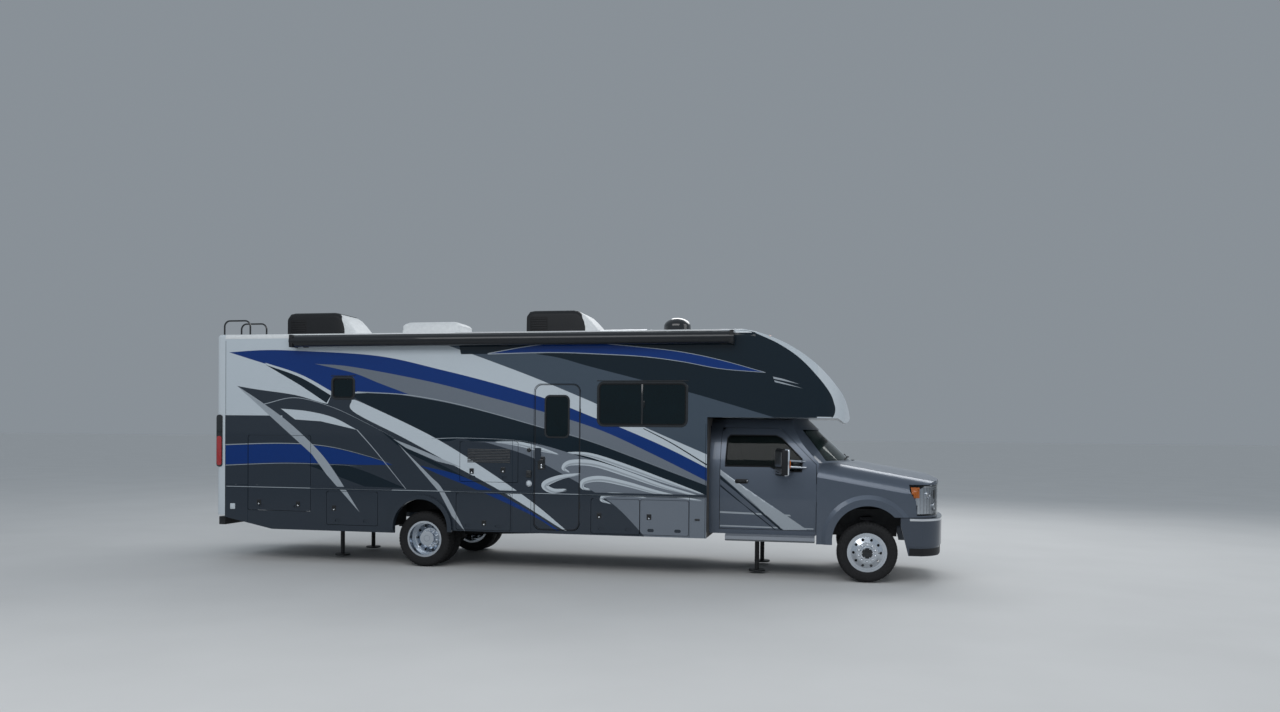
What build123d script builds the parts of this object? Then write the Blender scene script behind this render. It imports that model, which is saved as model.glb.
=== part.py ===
from build123d import *
from math import cos, radians, sin
import os

# A cab-over-bed motorhome on a heavy pickup chassis, millimetres. +X is forwards, +Y is the
# driver's left, +Z is up, and Z = 0 is the ground under the tyres. X = 0 is the middle of the
# overall length. The sleeping area reaches out over the cab, and the coach body is built of
# flat laminated walls between a moulded rear cap, a moulded nose and a crowned roof.
os.makedirs("parts", exist_ok=True)

# Lengths along the vehicle
wheelbase = 6248
front_overhang = 1035
rear_wall_overhang = 3292
ladder_reach = 110
rear_overhang = rear_wall_overhang + ladder_reach
overall_length = front_overhang + wheelbase + rear_overhang
axle_f = overall_length / 2 - front_overhang
axle_r = axle_f - wheelbase
rear_face = axle_r - rear_wall_overhang

# Coach body
coach_half = 1283
wall_thick = 40
roof_edge_z = 3378
roof_crown_z = 3398
roof_corner_r = 55
wall_top_z = 3310
floor_top_z = 1160
floor_thick = 60
floor_under_z = floor_top_z - floor_thick
skirt_z = 550
rear_skirt_z = 490
coach_front = axle_f - 2130
roof_front = axle_f - 1950
rear_seam = rear_face + 148
ramp_end = axle_r - 2363
ramp_tail_z = 680
moulding_z = 1108
moulding_high = 30
moulding_proud = 12
inner_half = coach_half - wall_thick

# Running gear
tyre_r = 402
tyre_wide = 225
rim_r = 247
rim_lip_r = 261
rim_wide = 178
rim_lip_thick = 12
track_front_half = 950
track_rear_half = 940
dual_spacing = 267
kingpin_half = 790
arch_rear_r = 416
arch_rear_z = 572
flare_wide = 62
flare_proud = 45
lug_count = 10
lug_circle_r = 112.5
hand_hole_circle_r = 178
hand_hole_r = 18
disc_thick = 16
front_dish = 118

# Chassis
rail_half = 432
rail_top_z = 940
rail_high = 220
rail_flange = 80
rail_web = 10
rail_front = axle_f + 850
rail_rear = rear_face + 90

# Gaps
door_gap = 6
knuckle_r = 3
seat_gap = 0.3
knuckle_offset = door_gap - knuckle_r - seat_gap
door_thick = 34

# Cab
cab_half = 1016
cab_skin = 55
sill_z = 600
cab_top_z = 2190
belt_z = 1500
screen_base_z = 1585
screen_centre = axle_f - 180
screen_side = axle_f - 600
screen_rake = 1.06
firewall = axle_f - 560
footwell_half = 880
cab_floor_z = 950
cab_floor_thick = 40
door_front = axle_f - 678
door_rear = axle_f - 1981
door_bottom_z = 668
front_rear = door_front + door_gap

# Front end
front_skin = 28
nose_face = axle_f + 985
bumper_face = axle_f + front_overhang
bumper_top_z = 876
bumper_bottom_z = 372
arch_front_r = 472
arch_front_x = axle_f + 13
arch_front_z = 552
hood_drop = 0.1716
hood_rear_z = 1632


forward = (1, 0, 0)
upward = (0, 0, 1)


def side_plane(y):
    """Sketch plane parallel to the sides: local x is X and local y is Z."""
    return Plane.XZ.offset(-y)


def export(builder, name):
    builder.part.label = name
    export_step(builder.part, f"parts/{name}.step")


def prism_y(outline, y0, y1):
    """Solid between two Y planes from an outline of (x, z) corners."""
    with BuildPart() as solid:
        with BuildSketch(side_plane(y1)):
            with BuildLine():
                Polyline(*outline, close=True)
            make_face()
        extrude(amount=y1 - y0)
    return solid.part


def prism_z(outline, z0, z1):
    """Solid between two heights from an outline of (x, y) corners."""
    with BuildPart() as solid:
        with BuildSketch(Plane.XY.offset(z0)):
            with BuildLine():
                Polyline(*outline, close=True)
            make_face()
        extrude(amount=z1 - z0)
    return solid.part


def prism_x(outline, x0, x1):
    """Solid between two X planes from an outline of (y, z) corners."""
    with BuildPart() as solid:
        with BuildSketch(Plane.YZ.offset(x0)):
            with BuildLine():
                Polyline(*outline, close=True)
            make_face()
        extrude(amount=x1 - x0)
    return solid.part


def block(x0, x1, y0, y1, z0, z1):
    with BuildPart() as solid:
        with Locations(((x0 + x1) / 2, (y0 + y1) / 2, (z0 + z1) / 2)):
            Box(x1 - x0, y1 - y0, z1 - z0)
    return solid.part


# Openings in the side walls. Columns: name, rear x, front x, low z, high z, corner radius.
right_doors = [
    ("tall_bay_door", axle_r - 2756, axle_r - 1743, 768, 1876, 25),
    ("rear_bay_door", axle_r - 1478, axle_r - 676, 584, 1067, 25),
    ("middle_bay_door", axle_f - 5712, axle_f - 4907, 570, 1084, 25),
    ("side_hatch", axle_f - 5660, axle_f - 4800, 1256, 1822, 25),
    ("step_bay_door", axle_f - 3733, axle_f - 3053, 576, 1050, 25),
    ("front_bay_door", axle_f - 3040, axle_f - 2373, 576, 1050, 25),
]
left_doors = [
    ("left_bay_door", axle_f - 3733, axle_f - 2373, 576, 1050, 25),
]
entry = ("entry_door", axle_f - 4565, axle_f - 3900, 600, 2637, 110)
right_windows = [
    ("lounge_window", axle_f - 3645, axle_f - 2412, 2068, 2655, 70),
    ("bedroom_window", axle_r - 1396, axle_r - 1054, 2428, 2731, 60),
]
left_windows = [
    ("left_bedroom_window", axle_r - 1700, axle_r - 900, 2150, 2650, 60),
    ("left_cabin_window", axle_f - 3100, axle_f - 2500, 2068, 2655, 60),
]
entry_window = (axle_f - 4399, axle_f - 4066, 1900, 2470, 55)

# Slide-out room on the driver's side, stowed
slide_rear = axle_f - 5650
slide_front = axle_f - 3450
slide_low_z = floor_top_z + seat_gap
slide_high_z = 3040
slide_deep = 720
slide_travel = 610
slide_flange = 35
slide_flange_thick = 14
slide_gap = 12
flange_low_z = moulding_z + moulding_high + 2


def rounded_cuts(plane, rows, grow=0.0):
    """Rounded rectangles on a side plane, one for each row of x0, x1, z0, z1, radius."""
    with BuildSketch(plane) as sketch:
        for x0, x1, z0, z1, radius in rows:
            with Locations(((x0 + x1) / 2, (z0 + z1) / 2)):
                RectangleRounded(x1 - x0 + 2 * grow, z1 - z0 + 2 * grow, radius + grow)
    return sketch.sketch


def ramp_z(x):
    """Height of the rising skirt line behind the rear axle."""
    share = (ramp_end - x) / (ramp_end - rear_face)
    return rear_skirt_z + max(0, share) * (ramp_tail_z - rear_skirt_z)


def side_wall(side, doors, windows, extra=()):
    """One laminated side wall, with its skirt, moulding, arch flare and openings."""
    face = side * coach_half
    outline = [
        (rear_seam, ramp_z(rear_seam)),
        (ramp_end, rear_skirt_z),
        (axle_r, rear_skirt_z),
        (axle_r, skirt_z),
        (coach_front, skirt_z),
        (coach_front, wall_top_z),
        (rear_seam, wall_top_z),
    ]
    proud = side * moulding_proud
    with BuildPart() as wall:
        add(prism_y(outline, min(face, face - side * wall_thick), max(face, face - side * wall_thick)))
        add(block(axle_r - 1740, axle_r - arch_rear_r - 40, *sorted((face, face + proud)),
                  moulding_z, moulding_z + moulding_high))
        add(block(axle_r + arch_rear_r + 40, coach_front, *sorted((face, face + proud)),
                  moulding_z, moulding_z + moulding_high))
        with BuildSketch(side_plane(face)):
            with Locations((axle_r, arch_rear_z)):
                Circle(arch_rear_r + flare_wide)
        extrude(amount=-side * flare_proud)
        with BuildSketch(side_plane(0)):
            with Locations((axle_r, arch_rear_z)):
                Circle(arch_rear_r)
            with Locations((axle_r, arch_rear_z - 300)):
                Rectangle(2 * arch_rear_r, 600)
        extrude(amount=-side * (coach_half + 200), mode=Mode.SUBTRACT)
        add(block(axle_r - 700, axle_r + 700, *sorted((face - side * 1, face + side * 100)),
                  0, skirt_z - 20), mode=Mode.SUBTRACT)
        cuts = [(x0 - door_gap, x1 + door_gap, z0 - door_gap, z1 + door_gap, r)
                for _, x0, x1, z0, z1, r in doors]
        cuts += [row[1:] for row in windows]
        cuts += list(extra)
        extrude(rounded_cuts(side_plane(0), cuts), amount=-side * (coach_half + 200), mode=Mode.SUBTRACT)
        cheek = [(coach_front - 1, cab_top_z), (roof_front, cab_top_z), (roof_front, wall_top_z),
                 (coach_front - 1, wall_top_z)]
        add(prism_y(cheek, *sorted((face, face - side * wall_thick))))
    return wall


entry_cut = (entry[1] - door_gap, entry[2] + door_gap, entry[3] - door_gap, entry[4] + door_gap, entry[5])
slide_cut = (slide_rear - slide_gap, slide_front + slide_gap, flange_low_z + 2, slide_high_z + slide_gap, 20)
right_wall = side_wall(-1, right_doors, right_windows, [entry_cut])
left_wall = side_wall(1, left_doors, left_windows, [slide_cut])
export(right_wall, "right_wall")
export(left_wall, "left_wall")


def bay_door(row, side):
    """Top-hinged luggage door with its hinge knuckle and two flush latch cups."""
    name, x0, x1, z0, z1, radius = row
    face = side * coach_half
    latch_z = z0 + 60
    with BuildPart() as door:
        extrude(rounded_cuts(side_plane(face), [(x0, x1, z0, z1, radius)]), amount=side * door_thick)
        with Locations(Location(((x0 + x1) / 2, face, z1 + knuckle_offset), (0, 90, 0))):
            Cylinder(knuckle_r, x1 - x0 - 2 * radius - 20)
        with BuildSketch(side_plane(face)):
            with Locations((x0 + 0.22 * (x1 - x0), latch_z), (x1 - 0.22 * (x1 - x0), latch_z)):
                SlotOverall(90, 44)
        extrude(amount=side * 9, mode=Mode.SUBTRACT)
    export(door, name)


for row in right_doors:
    bay_door(row, -1)
for row in left_doors:
    bay_door(row, 1)

# Entry door, hinged at its front edge
with BuildPart() as entry_door:
    extrude(rounded_cuts(side_plane(-coach_half), [entry[1:]]), amount=-door_thick)
    extrude(rounded_cuts(side_plane(0), [entry_window]), amount=coach_half + 100, mode=Mode.SUBTRACT)
    with Locations((entry[2] + knuckle_offset, -coach_half, (entry[3] + entry[4]) / 2)):
        Cylinder(knuckle_r, entry[4] - entry[3] - 2 * entry[5] - 20)
    with BuildSketch(side_plane(-coach_half)):
        with Locations((entry[1] + 62, 1655)):
            RectangleRounded(84, 180, 12)
    extrude(amount=14)
export(entry_door, "entry_door")


def panes(rows, side, set_back, thick):
    with BuildPart() as glass:
        extrude(rounded_cuts(side_plane(side * (coach_half - set_back)), rows), amount=side * thick)
    return glass.part


with BuildPart() as entry_glass:
    add(panes([entry_window], -1, 8, 8))
export(entry_glass, "entry_door_glass")

with BuildPart() as coach_windows:
    add(panes([row[1:] for row in right_windows], -1, 4, 8))
    add(panes([row[1:] for row in left_windows], 1, 4, 8))
export(coach_windows, "coach_windows")

# Crowned roof skin with rounded long edges that sit on the wall tops

def roof_face(drop, x):
    """End face of the roof at x, drop inside the outer surface."""
    half = coach_half - drop
    edge_z = roof_edge_z - drop
    corner = roof_corner_r - drop
    bulge = corner * (1 - 0.5 ** 0.5)
    with BuildSketch(Plane.YZ.offset(x)) as face:
        with BuildLine():
            Line((-half, wall_top_z), (-half, edge_z - corner))
            ThreePointArc((-half, edge_z - corner), (-half + bulge, edge_z - bulge), (-half + corner, edge_z))
            ThreePointArc((-half + corner, edge_z), (0, roof_crown_z - drop), (half - corner, edge_z))
            ThreePointArc((half - corner, edge_z), (half - bulge, edge_z - bulge), (half, edge_z - corner))
            Line((half, edge_z - corner), (half, wall_top_z))
            Line((half, wall_top_z), (-half, wall_top_z))
        make_face()
    return face.sketch


with BuildPart() as roof:
    for drop, mode in ((0, Mode.ADD), (wall_thick, Mode.SUBTRACT)):
        extrude(roof_face(drop, rear_seam), amount=roof_front - rear_seam, dir=forward, mode=mode)
export(roof, "roof")

# Moulded rear cap, open towards the coach and below
cap_corner = 70
cap_top_corner = 45


def rear_cap_form(inset):
    """Rear cap as a solid; inset shrinks it and carries it on past its two open sides."""
    over = 10 if inset else 0
    x0, x1 = rear_face + inset, rear_seam + over
    z0, z1 = ramp_tail_z - over, roof_edge_z - inset
    with BuildPart() as form:
        with Locations(((x0 + x1) / 2, 0, (z0 + z1) / 2)):
            Box(x1 - x0, 2 * (coach_half - inset), z1 - z0)
        fillet(form.edges().filter_by(Axis.Z).group_by(Axis.X)[0], cap_corner - inset)
        rear_top = form.edges().filter_by(Axis.Y).group_by(Axis.Z)[-1].sort_by(Axis.X)[0]
        fillet(rear_top, cap_top_corner - inset)
    return form.part


with BuildPart() as rear_cap:
    add(rear_cap_form(0))
    add(rear_cap_form(wall_thick), mode=Mode.SUBTRACT)
    with BuildSketch(Plane.YZ.offset(rear_face)):
        with Locations((0, 1010)):
            RectangleRounded(460, 240, 30)
    extrude(amount=14, mode=Mode.SUBTRACT)
export(rear_cap, "rear_cap")

# Moulded nose over the cab. Side outline, plan outline and end outline are crossed, and the
# same three drawn one skin thickness smaller leave the hollow.
nose_skin = 40
nose_rear = roof_front
nose_low_z = cab_top_z


def nose_form(inset):
    with BuildPart() as form:
        with BuildSketch(side_plane(coach_half + 50)):
            with BuildLine():
                Line((nose_rear, nose_low_z), (nose_rear, roof_crown_z))
                Line((nose_rear, roof_crown_z), (axle_f - 1820, roof_crown_z))
                ThreePointArc((axle_f - 1820, roof_crown_z), (axle_f - 1010, 3135), (axle_f - 420, 2610))
                ThreePointArc((axle_f - 420, 2610), (axle_f - 275, 2360), (axle_f - 240, 2215))
                ThreePointArc((axle_f - 240, 2215), (axle_f - 262, 2150), (axle_f - 320, 2130))
                Line((axle_f - 320, 2130), (axle_f - 400, nose_low_z))
                Line((axle_f - 400, nose_low_z), (nose_rear, nose_low_z))
            make_face()
            if inset:
                offset(amount=-inset)
        extrude(amount=2 * coach_half + 100)
        with BuildSketch(Plane.XY.offset(2000)):
            with BuildLine():
                Line((nose_rear - 200, -coach_half), (axle_f - 900, -coach_half))
                ThreePointArc((axle_f - 900, -coach_half), (axle_f - 420, -1130), (axle_f - 300, -850))
                ThreePointArc((axle_f - 300, -850), (axle_f - 225, 0), (axle_f - 300, 850))
                ThreePointArc((axle_f - 300, 850), (axle_f - 420, 1130), (axle_f - 900, coach_half))
                Line((axle_f - 900, coach_half), (nose_rear - 200, coach_half))
                Line((nose_rear - 200, coach_half), (nose_rear - 200, -coach_half))
            make_face()
            if inset:
                offset(amount=-inset)
        extrude(amount=1500, mode=Mode.INTERSECT)
        half = coach_half - inset
        top_z = roof_edge_z - inset
        corner = roof_corner_r - inset
        bulge = corner * (1 - 0.5 ** 0.5)
        with BuildSketch(Plane.YZ.offset(nose_rear - 200)):
            with BuildLine():
                Line((-half, 2050), (-half, top_z - corner))
                ThreePointArc((-half, top_z - corner), (-half + bulge, top_z - bulge),
                              (-half + corner, top_z))
                ThreePointArc((-half + corner, top_z), (0, roof_crown_z - inset), (half - corner, top_z))
                ThreePointArc((half - corner, top_z), (half - bulge, top_z - bulge), (half, top_z - corner))
                Line((half, top_z - corner), (half, 2050))
                Line((half, 2050), (-half, 2050))
            make_face()
        extrude(amount=2300, mode=Mode.INTERSECT)
    return form.part


with BuildPart() as nose_cap:
    add(nose_form(0))
    add(nose_form(nose_skin), mode=Mode.SUBTRACT)
    add(block(nose_rear - 10, nose_rear + nose_skin + 10, -inner_half, inner_half,
              nose_low_z + nose_skin, roof_edge_z - nose_skin), mode=Mode.SUBTRACT)
export(nose_cap, "nose_cap")

# Floor with a well for the entry steps, and the bulkhead that closes the coach round the cab
underbody_half = rail_half + 60
well_x0 = entry[1] - 20
well_x1 = entry[2] + 20
well_y = -620
step_rise = 260
with BuildPart() as coach_floor:
    add(block(rear_face + cap_corner, coach_front - wall_thick, -inner_half, inner_half,
              floor_under_z, floor_top_z))
    add(block(coach_front - wall_thick, coach_front, -inner_half, inner_half, skirt_z, nose_low_z))
    add(block(coach_front - wall_thick - 5, coach_front + 5, -880, 880, floor_top_z, 2080),
        mode=Mode.SUBTRACT)
    add(block(coach_front - wall_thick - 5, coach_front + 5, -underbody_half, underbody_half,
              skirt_z - 5, floor_under_z), mode=Mode.SUBTRACT)
    add(block(well_x0, well_x1, -inner_half - 5, well_y, floor_under_z - 5, floor_top_z + 5),
        mode=Mode.SUBTRACT)
    add(block(well_x0 - 20, well_x1 + 20, -inner_half, well_y + 20, skirt_z + 20, floor_under_z))
    add(block(well_x0, well_x1, -inner_half - 5, well_y, skirt_z + 50, floor_under_z + 5),
        mode=Mode.SUBTRACT)
    add(block(well_x0, well_x1, well_y - 290, well_y, skirt_z + 50, floor_top_z - step_rise))
export(coach_floor, "coach_floor")

# Luggage bays hung below the floor, open towards the wall
bay_skin = 12
bay_low_z = 558
bay_back = rail_half + 45
spring_bay_back = rail_half + 130
tall_bay_deep = 520
tall_bay_top_z = 1920
# Columns: side, rear x, front x, distance of the back from the middle
bays = [
    (-1, axle_r - 1540, axle_r - 560, spring_bay_back),
    (-1, axle_f - 5640, axle_f - 4640, spring_bay_back),
    (-1, axle_f - 3790, axle_f - 2250, bay_back),
    (1, axle_f - 3790, axle_f - 2250, bay_back),
]
with BuildPart() as luggage_bays:
    for side, x0, x1, back in bays:
        outer_y = side * inner_half
        back_y = side * back
        add(block(x0, x1, *sorted((outer_y, back_y)), bay_low_z, floor_under_z))
        add(block(x0 + bay_skin, x1 - bay_skin, *sorted((outer_y + side * 5, back_y + side * bay_skin)),
                  bay_low_z + bay_skin, floor_under_z + 5), mode=Mode.SUBTRACT)
    x0, x1 = axle_r - 2790, axle_r - 1710
    add(block(x0, x1, -inner_half, -inner_half + tall_bay_deep, floor_top_z, tall_bay_top_z))
    add(block(x0 + bay_skin, x1 - bay_skin, -inner_half - 5, -inner_half + tall_bay_deep - bay_skin,
              floor_top_z - 5, tall_bay_top_z - bay_skin), mode=Mode.SUBTRACT)
export(luggage_bays, "luggage_bays")

# Levelling jacks. Columns: name of the sliding leg, x, side
jacks = [
    ("right_front_jack_leg", axle_f - 1500, -1),
    ("left_front_jack_leg", axle_f - 1500, 1),
    ("right_rear_jack_leg", axle_r - 1640, -1),
    ("left_rear_jack_leg", axle_r - 1640, 1),
]
jack_y = rail_half + 75
jack_bore_r = 32
jack_wall = 12
jack_low_z = 470
jack_high_z = rail_top_z - 40
jack_foot_z = 35
jack_foot_r = 115
jack_foot_thick = 24
jack_cap = 20
jack_travel = 330
jack_leg_top = jack_high_z - jack_cap - jack_travel - 5

# Chassis: two channel rails with cross-members, and bolted to them the body bearers and the
# jacks' outer cylinders with their brackets
with BuildPart() as chassis_frame:
    for side in (-1, 1):
        outer_y = side * rail_half
        add(block(rail_rear, rail_front, *sorted((outer_y, outer_y - side * rail_flange)),
                  rail_top_z - rail_high, rail_top_z))
        add(block(rail_rear - 5, rail_front + 5,
                  *sorted((outer_y - side * rail_web, outer_y - side * (rail_flange + 5))),
                  rail_top_z - rail_high + rail_web, rail_top_z - rail_web), mode=Mode.SUBTRACT)
    cross_members = [axle_r - 2900, axle_r - 1600, axle_r - 640, axle_r + 640, axle_f - 4400,
                     axle_f - 3000, axle_f - 1900]
    for x in cross_members:
        add(block(x - 35, x + 35, -rail_half + rail_web, rail_half - rail_web,
                  rail_top_z - rail_high + rail_web, rail_top_z - 60))
    bearers = [axle_r - 3100, axle_r - 1640, axle_r - 480, axle_r + 480, axle_f - 3825, axle_f - 2200]
    for x in bearers:
        add(block(x - 30, x + 30, -inner_half, inner_half, rail_top_z + seat_gap, floor_under_z))
    add(block(axle_f + 700, axle_f + 780, -rail_half, rail_half, rail_top_z - rail_high, rail_top_z - 60))
    for _, x, side in jacks:
        with Locations((x, side * jack_y, (jack_low_z + jack_high_z) / 2)):
            Cylinder(jack_bore_r + jack_wall, jack_high_z - jack_low_z)
        add(block(x - 60, x + 60, *sorted((side * (rail_half + seat_gap), side * (jack_y - 20))), 740, 880))
        with Locations((x, side * jack_y, (jack_low_z + jack_high_z) / 2 - jack_cap)):
            Cylinder(jack_bore_r + seat_gap, jack_high_z - jack_low_z, mode=Mode.SUBTRACT)
export(chassis_frame, "chassis_frame")

# Rear axle with its leaf springs, and the front beam with coil springs
axle_z = tyre_r
leaf_half = 480
leaf_length_half = 700
with BuildPart() as rear_axle:
    with Locations(Location((axle_r, 0, axle_z), (90, 0, 0))):
        Cylinder(68, 2 * (track_rear_half - disc_thick - seat_gap))
    with Locations((axle_r, 0, axle_z)):
        Sphere(185)
    for side in (-1, 1):
        y = side * leaf_half
        z = axle_z + 60
        add(block(axle_r - leaf_length_half, axle_r + leaf_length_half, y - 38, y + 38, z + 45, z + 75))
        add(block(axle_r - 450, axle_r + 450, y - 38, y + 38, z + 15, z + 45))
        add(block(axle_r - 90, axle_r + 90, y - 45, y + 45, axle_z, z + 95))
        for end in (-1, 1):
            x = axle_r + end * (leaf_length_half - 25)
            add(block(x - 25, x + 25, y - 38, y + 38, z + 45, rail_top_z - 60))
            add(block(x - 25, x + 25, *sorted((side * rail_half, y + side * 38)),
                      rail_top_z - rail_high + 40, rail_top_z - 60))
export(rear_axle, "rear_axle")

spring_y = 560
# The web stands far enough inboard for the steering arm to pass it at full lock
yoke_web_inset = 59
with BuildPart() as front_axle:
    with Locations(Location((axle_f, 0, axle_z), (90, 0, 0))):
        Cylinder(48, 2 * (kingpin_half - 60))
    for side in (-1, 1):
        add(block(axle_f - 60, axle_f + 60, side * spring_y - 75, side * spring_y + 75, axle_z, axle_z + 75))
        with Locations((axle_f, side * spring_y, (axle_z + 75 + 800) / 2)):
            Cylinder(55, 800 - axle_z - 75)
        for turn in range(5):
            with Locations((axle_f, side * spring_y, axle_z + 110 + turn * 58)):
                Cylinder(72, 20)
        add(block(axle_f - 80, axle_f + 80, *sorted((side * rail_half, side * (spring_y + 80))), 800, 840))
        yoke_outer, yoke_inner = side * (kingpin_half + 45), side * (kingpin_half - yoke_web_inset)
        for z in (axle_z - 105, axle_z + 75):
            add(block(axle_f - 45, axle_f + 45, *sorted((yoke_outer, yoke_inner)), z, z + 30))
        add(block(axle_f - 45, axle_f + 45, *sorted((yoke_inner, yoke_inner - side * 60)),
                  axle_z - 105, axle_z + 105))
export(front_axle, "front_axle")

# Steering knuckles between the beam's yokes
for side, word in ((-1, "right"), (1, "left")):
    with BuildPart() as knuckle:
        with Locations((axle_f, side * kingpin_half, axle_z)):
            Cylinder(38, 150 - 2 * seat_gap)
        spindle = track_front_half + front_dish - disc_thick - seat_gap - kingpin_half
        with Locations(Location((axle_f, side * (kingpin_half + spindle / 2), axle_z), (90, 0, 0))):
            Cylinder(34, spindle)
        with Locations(Location((axle_f, side * (kingpin_half + 80), axle_z), (90, 0, 0))):
            Cylinder(190, 26)
        add(block(axle_f - 240, axle_f, *sorted((side * (kingpin_half - 20), side * (kingpin_half + 20))),
                  axle_z - 55, axle_z - 30))
    export(knuckle, f"{word}_knuckle")

tie_rod_r = 16
tie_rod_eye_r = 26
tie_rod_eye_high = 36
tie_rod_z = axle_z - 55 - seat_gap - tie_rod_eye_high / 2
with BuildPart() as tie_rod:
    with Locations(Location((axle_f - 215, 0, tie_rod_z), (90, 0, 0))):
        Cylinder(tie_rod_r, 2 * kingpin_half)
    with Locations(*[(axle_f - 215, side * kingpin_half, tie_rod_z) for side in (-1, 1)]):
        Cylinder(tie_rod_eye_r, tie_rod_eye_high)
export(tie_rod, "tie_rod")


def tyre_profile():
    """Half section of a tyre: local x is across the tread, local y is the radius."""
    half = tyre_wide / 2
    bead = rim_wide / 2 - rim_lip_thick - seat_gap
    bead_r = rim_r + seat_gap
    seat_r = rim_lip_r + 1
    with BuildLine() as line:
        Polyline((-92, seat_r), (-bead, seat_r), (-bead, bead_r), (bead, bead_r), (bead, seat_r),
                 (92, seat_r))
        ThreePointArc((92, seat_r), (half, 330), (96, tyre_r - 14))
        ThreePointArc((96, tyre_r - 14), (0, tyre_r), (-96, tyre_r - 14))
        ThreePointArc((-96, tyre_r - 14), (-half, 330), (-92, seat_r))
    return line.line


def wheel_plane(x, y):
    """Plane with local x across the wheel (+Y) and local y up, through a wheel's centre."""
    return Plane(origin=(x, y, axle_z), x_dir=(0, 1, 0), z_dir=(1, 0, 0))


def tyre_at(x, y):
    plane = wheel_plane(x, y)
    with BuildPart() as tyre:
        with BuildSketch(plane):
            add(tyre_profile())
            make_face()
        revolve(axis=Axis((x, y, axle_z), (0, 1, 0)))
    return tyre.part


def rim_at(x, y, side, dish, bore_r):
    """Alloy rim: barrel, disc at distance dish outboard of its middle, hand holes and lugs."""
    plane = wheel_plane(x, y)
    half = rim_wide / 2
    s = side
    with BuildPart() as rim:
        with BuildSketch(plane):
            with BuildLine():
                Polyline((-half, rim_lip_r), (-half + rim_lip_thick, rim_lip_r),
                         (-half + rim_lip_thick, rim_r), (half - rim_lip_thick, rim_r),
                         (half - rim_lip_thick, rim_lip_r), (half, rim_lip_r),
                         (half, rim_r - 14), (-half, rim_r - 14), close=True)
            make_face()
            outer_edge, inner_edge = (78, 60) if dish > 0 else (-60, -78)
            with BuildLine():
                Polyline((s * outer_edge, rim_r - 5), (s * outer_edge, 210), (s * dish, 140),
                         (s * dish, bore_r), (s * (dish - disc_thick), bore_r),
                         (s * (dish - disc_thick), 136), (s * inner_edge, 206),
                         (s * inner_edge, rim_r - 5), close=True)
            make_face()
        revolve(axis=Axis((x, y, axle_z), (0, 1, 0)))
        middle = Plane(origin=(x, y, axle_z), x_dir=(1, 0, 0), z_dir=(0, s, 0))
        with BuildSketch(middle.offset(150)):
            with PolarLocations(hand_hole_circle_r, lug_count):
                Circle(hand_hole_r)
        extrude(amount=-300, mode=Mode.SUBTRACT)
    return rim.part


def hub_at(x, y, side, dish, reach, back, hub_r):
    """Hub through the disc, from back inboard to reach outboard of its face, with lug nuts."""
    disc = Plane(origin=(x, y + side * dish, axle_z), x_dir=(1, 0, 0), z_dir=(0, side, 0))
    with BuildPart() as hub:
        with BuildSketch(disc):
            Circle(hub_r)
        extrude(amount=reach)
        with BuildSketch(disc.offset(-back)):
            Circle(hub_r)
        extrude(amount=back)
        with BuildSketch(disc.offset(-0.5)):
            with PolarLocations(lug_circle_r, lug_count, start_angle=18):
                Circle(15)
        extrude(amount=32)
    return hub.part


for side, word in ((-1, "right"), (1, "left")):
    y = side * track_front_half
    with BuildPart() as front_tyre:
        add(tyre_at(axle_f, y))
    export(front_tyre, f"{word}_front_tyre")
    with BuildPart() as front_rim:
        add(rim_at(axle_f, y, side, front_dish, 90))
        add(hub_at(axle_f, y, side, front_dish, 46, disc_thick, 90))
    export(front_rim, f"{word}_front_rim")
    outer_y = side * (track_rear_half + dual_spacing / 2)
    inner_y = side * (track_rear_half - dual_spacing / 2)
    with BuildPart() as rear_tyres:
        add(tyre_at(axle_r, outer_y))
        add(tyre_at(axle_r, inner_y))
    export(rear_tyres, f"{word}_rear_tyres")
    with BuildPart() as rear_rims:
        add(rim_at(axle_r, outer_y, side, disc_thick - dual_spacing / 2, 105))
        add(rim_at(axle_r, inner_y, side, dual_spacing / 2, 105))
        add(hub_at(axle_r, outer_y, side, disc_thick - dual_spacing / 2, 120, 2 * disc_thick, 105))
    export(rear_rims, f"{word}_rear_rims")

# Engine, gearbox with shaft, exhaust and tanks
with BuildPart() as engine_block:
    add(block(axle_f - 500, axle_f + 420, -330, 330, rail_top_z - 30, 1420))
    add(block(axle_f - 500, axle_f + 420, -rail_half + rail_flange + 4, rail_half - rail_flange - 4,
              560, rail_top_z - 30))
export(engine_block, "engine_block")

shaft_start = Vector(axle_f - 1345, 0, 610)
shaft_end = Vector(axle_r, 0, axle_z)
with BuildPart() as driveshaft:
    add(block(axle_f - 1350, axle_f - 500 - seat_gap, -190, 190, 560, 900))
    with BuildSketch(Plane(origin=shaft_start, z_dir=shaft_end - shaft_start)):
        Circle(52)
    extrude(amount=(shaft_end - shaft_start).length)
    with Locations((axle_r, 0, axle_z)):
        Sphere(185 + seat_gap, mode=Mode.SUBTRACT)
    add(block(axle_r - 80, axle_r + 80, -70, 70, axle_z - 70, axle_z + 70), mode=Mode.SUBTRACT)
export(driveshaft, "driveshaft")

# Cab body form. The end outline is carried along X and crossed with a plan outline whose
# curved front edge leans back with the windscreen.
cab_rear = coach_front


def cab_end_outline(inset, x):
    with BuildSketch(Plane.YZ.offset(x)) as outline:
        with BuildLine():
            Line((0, cab_top_z), (560, cab_top_z))
            ThreePointArc((560, cab_top_z), (720, 2140), (810, 2040))
            ThreePointArc((810, 2040), (925, 1770), (988, belt_z))
            ThreePointArc((988, belt_z), (cab_half, 1180), (1004, 820))
            Line((1004, 820), (985, sill_z))
            Line((985, sill_z), (0, sill_z))
            mirror(about=Plane.YZ)
        make_face()
        if inset:
            offset(amount=-inset, kind=Kind.INTERSECTION)
    return outline.sketch


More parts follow.
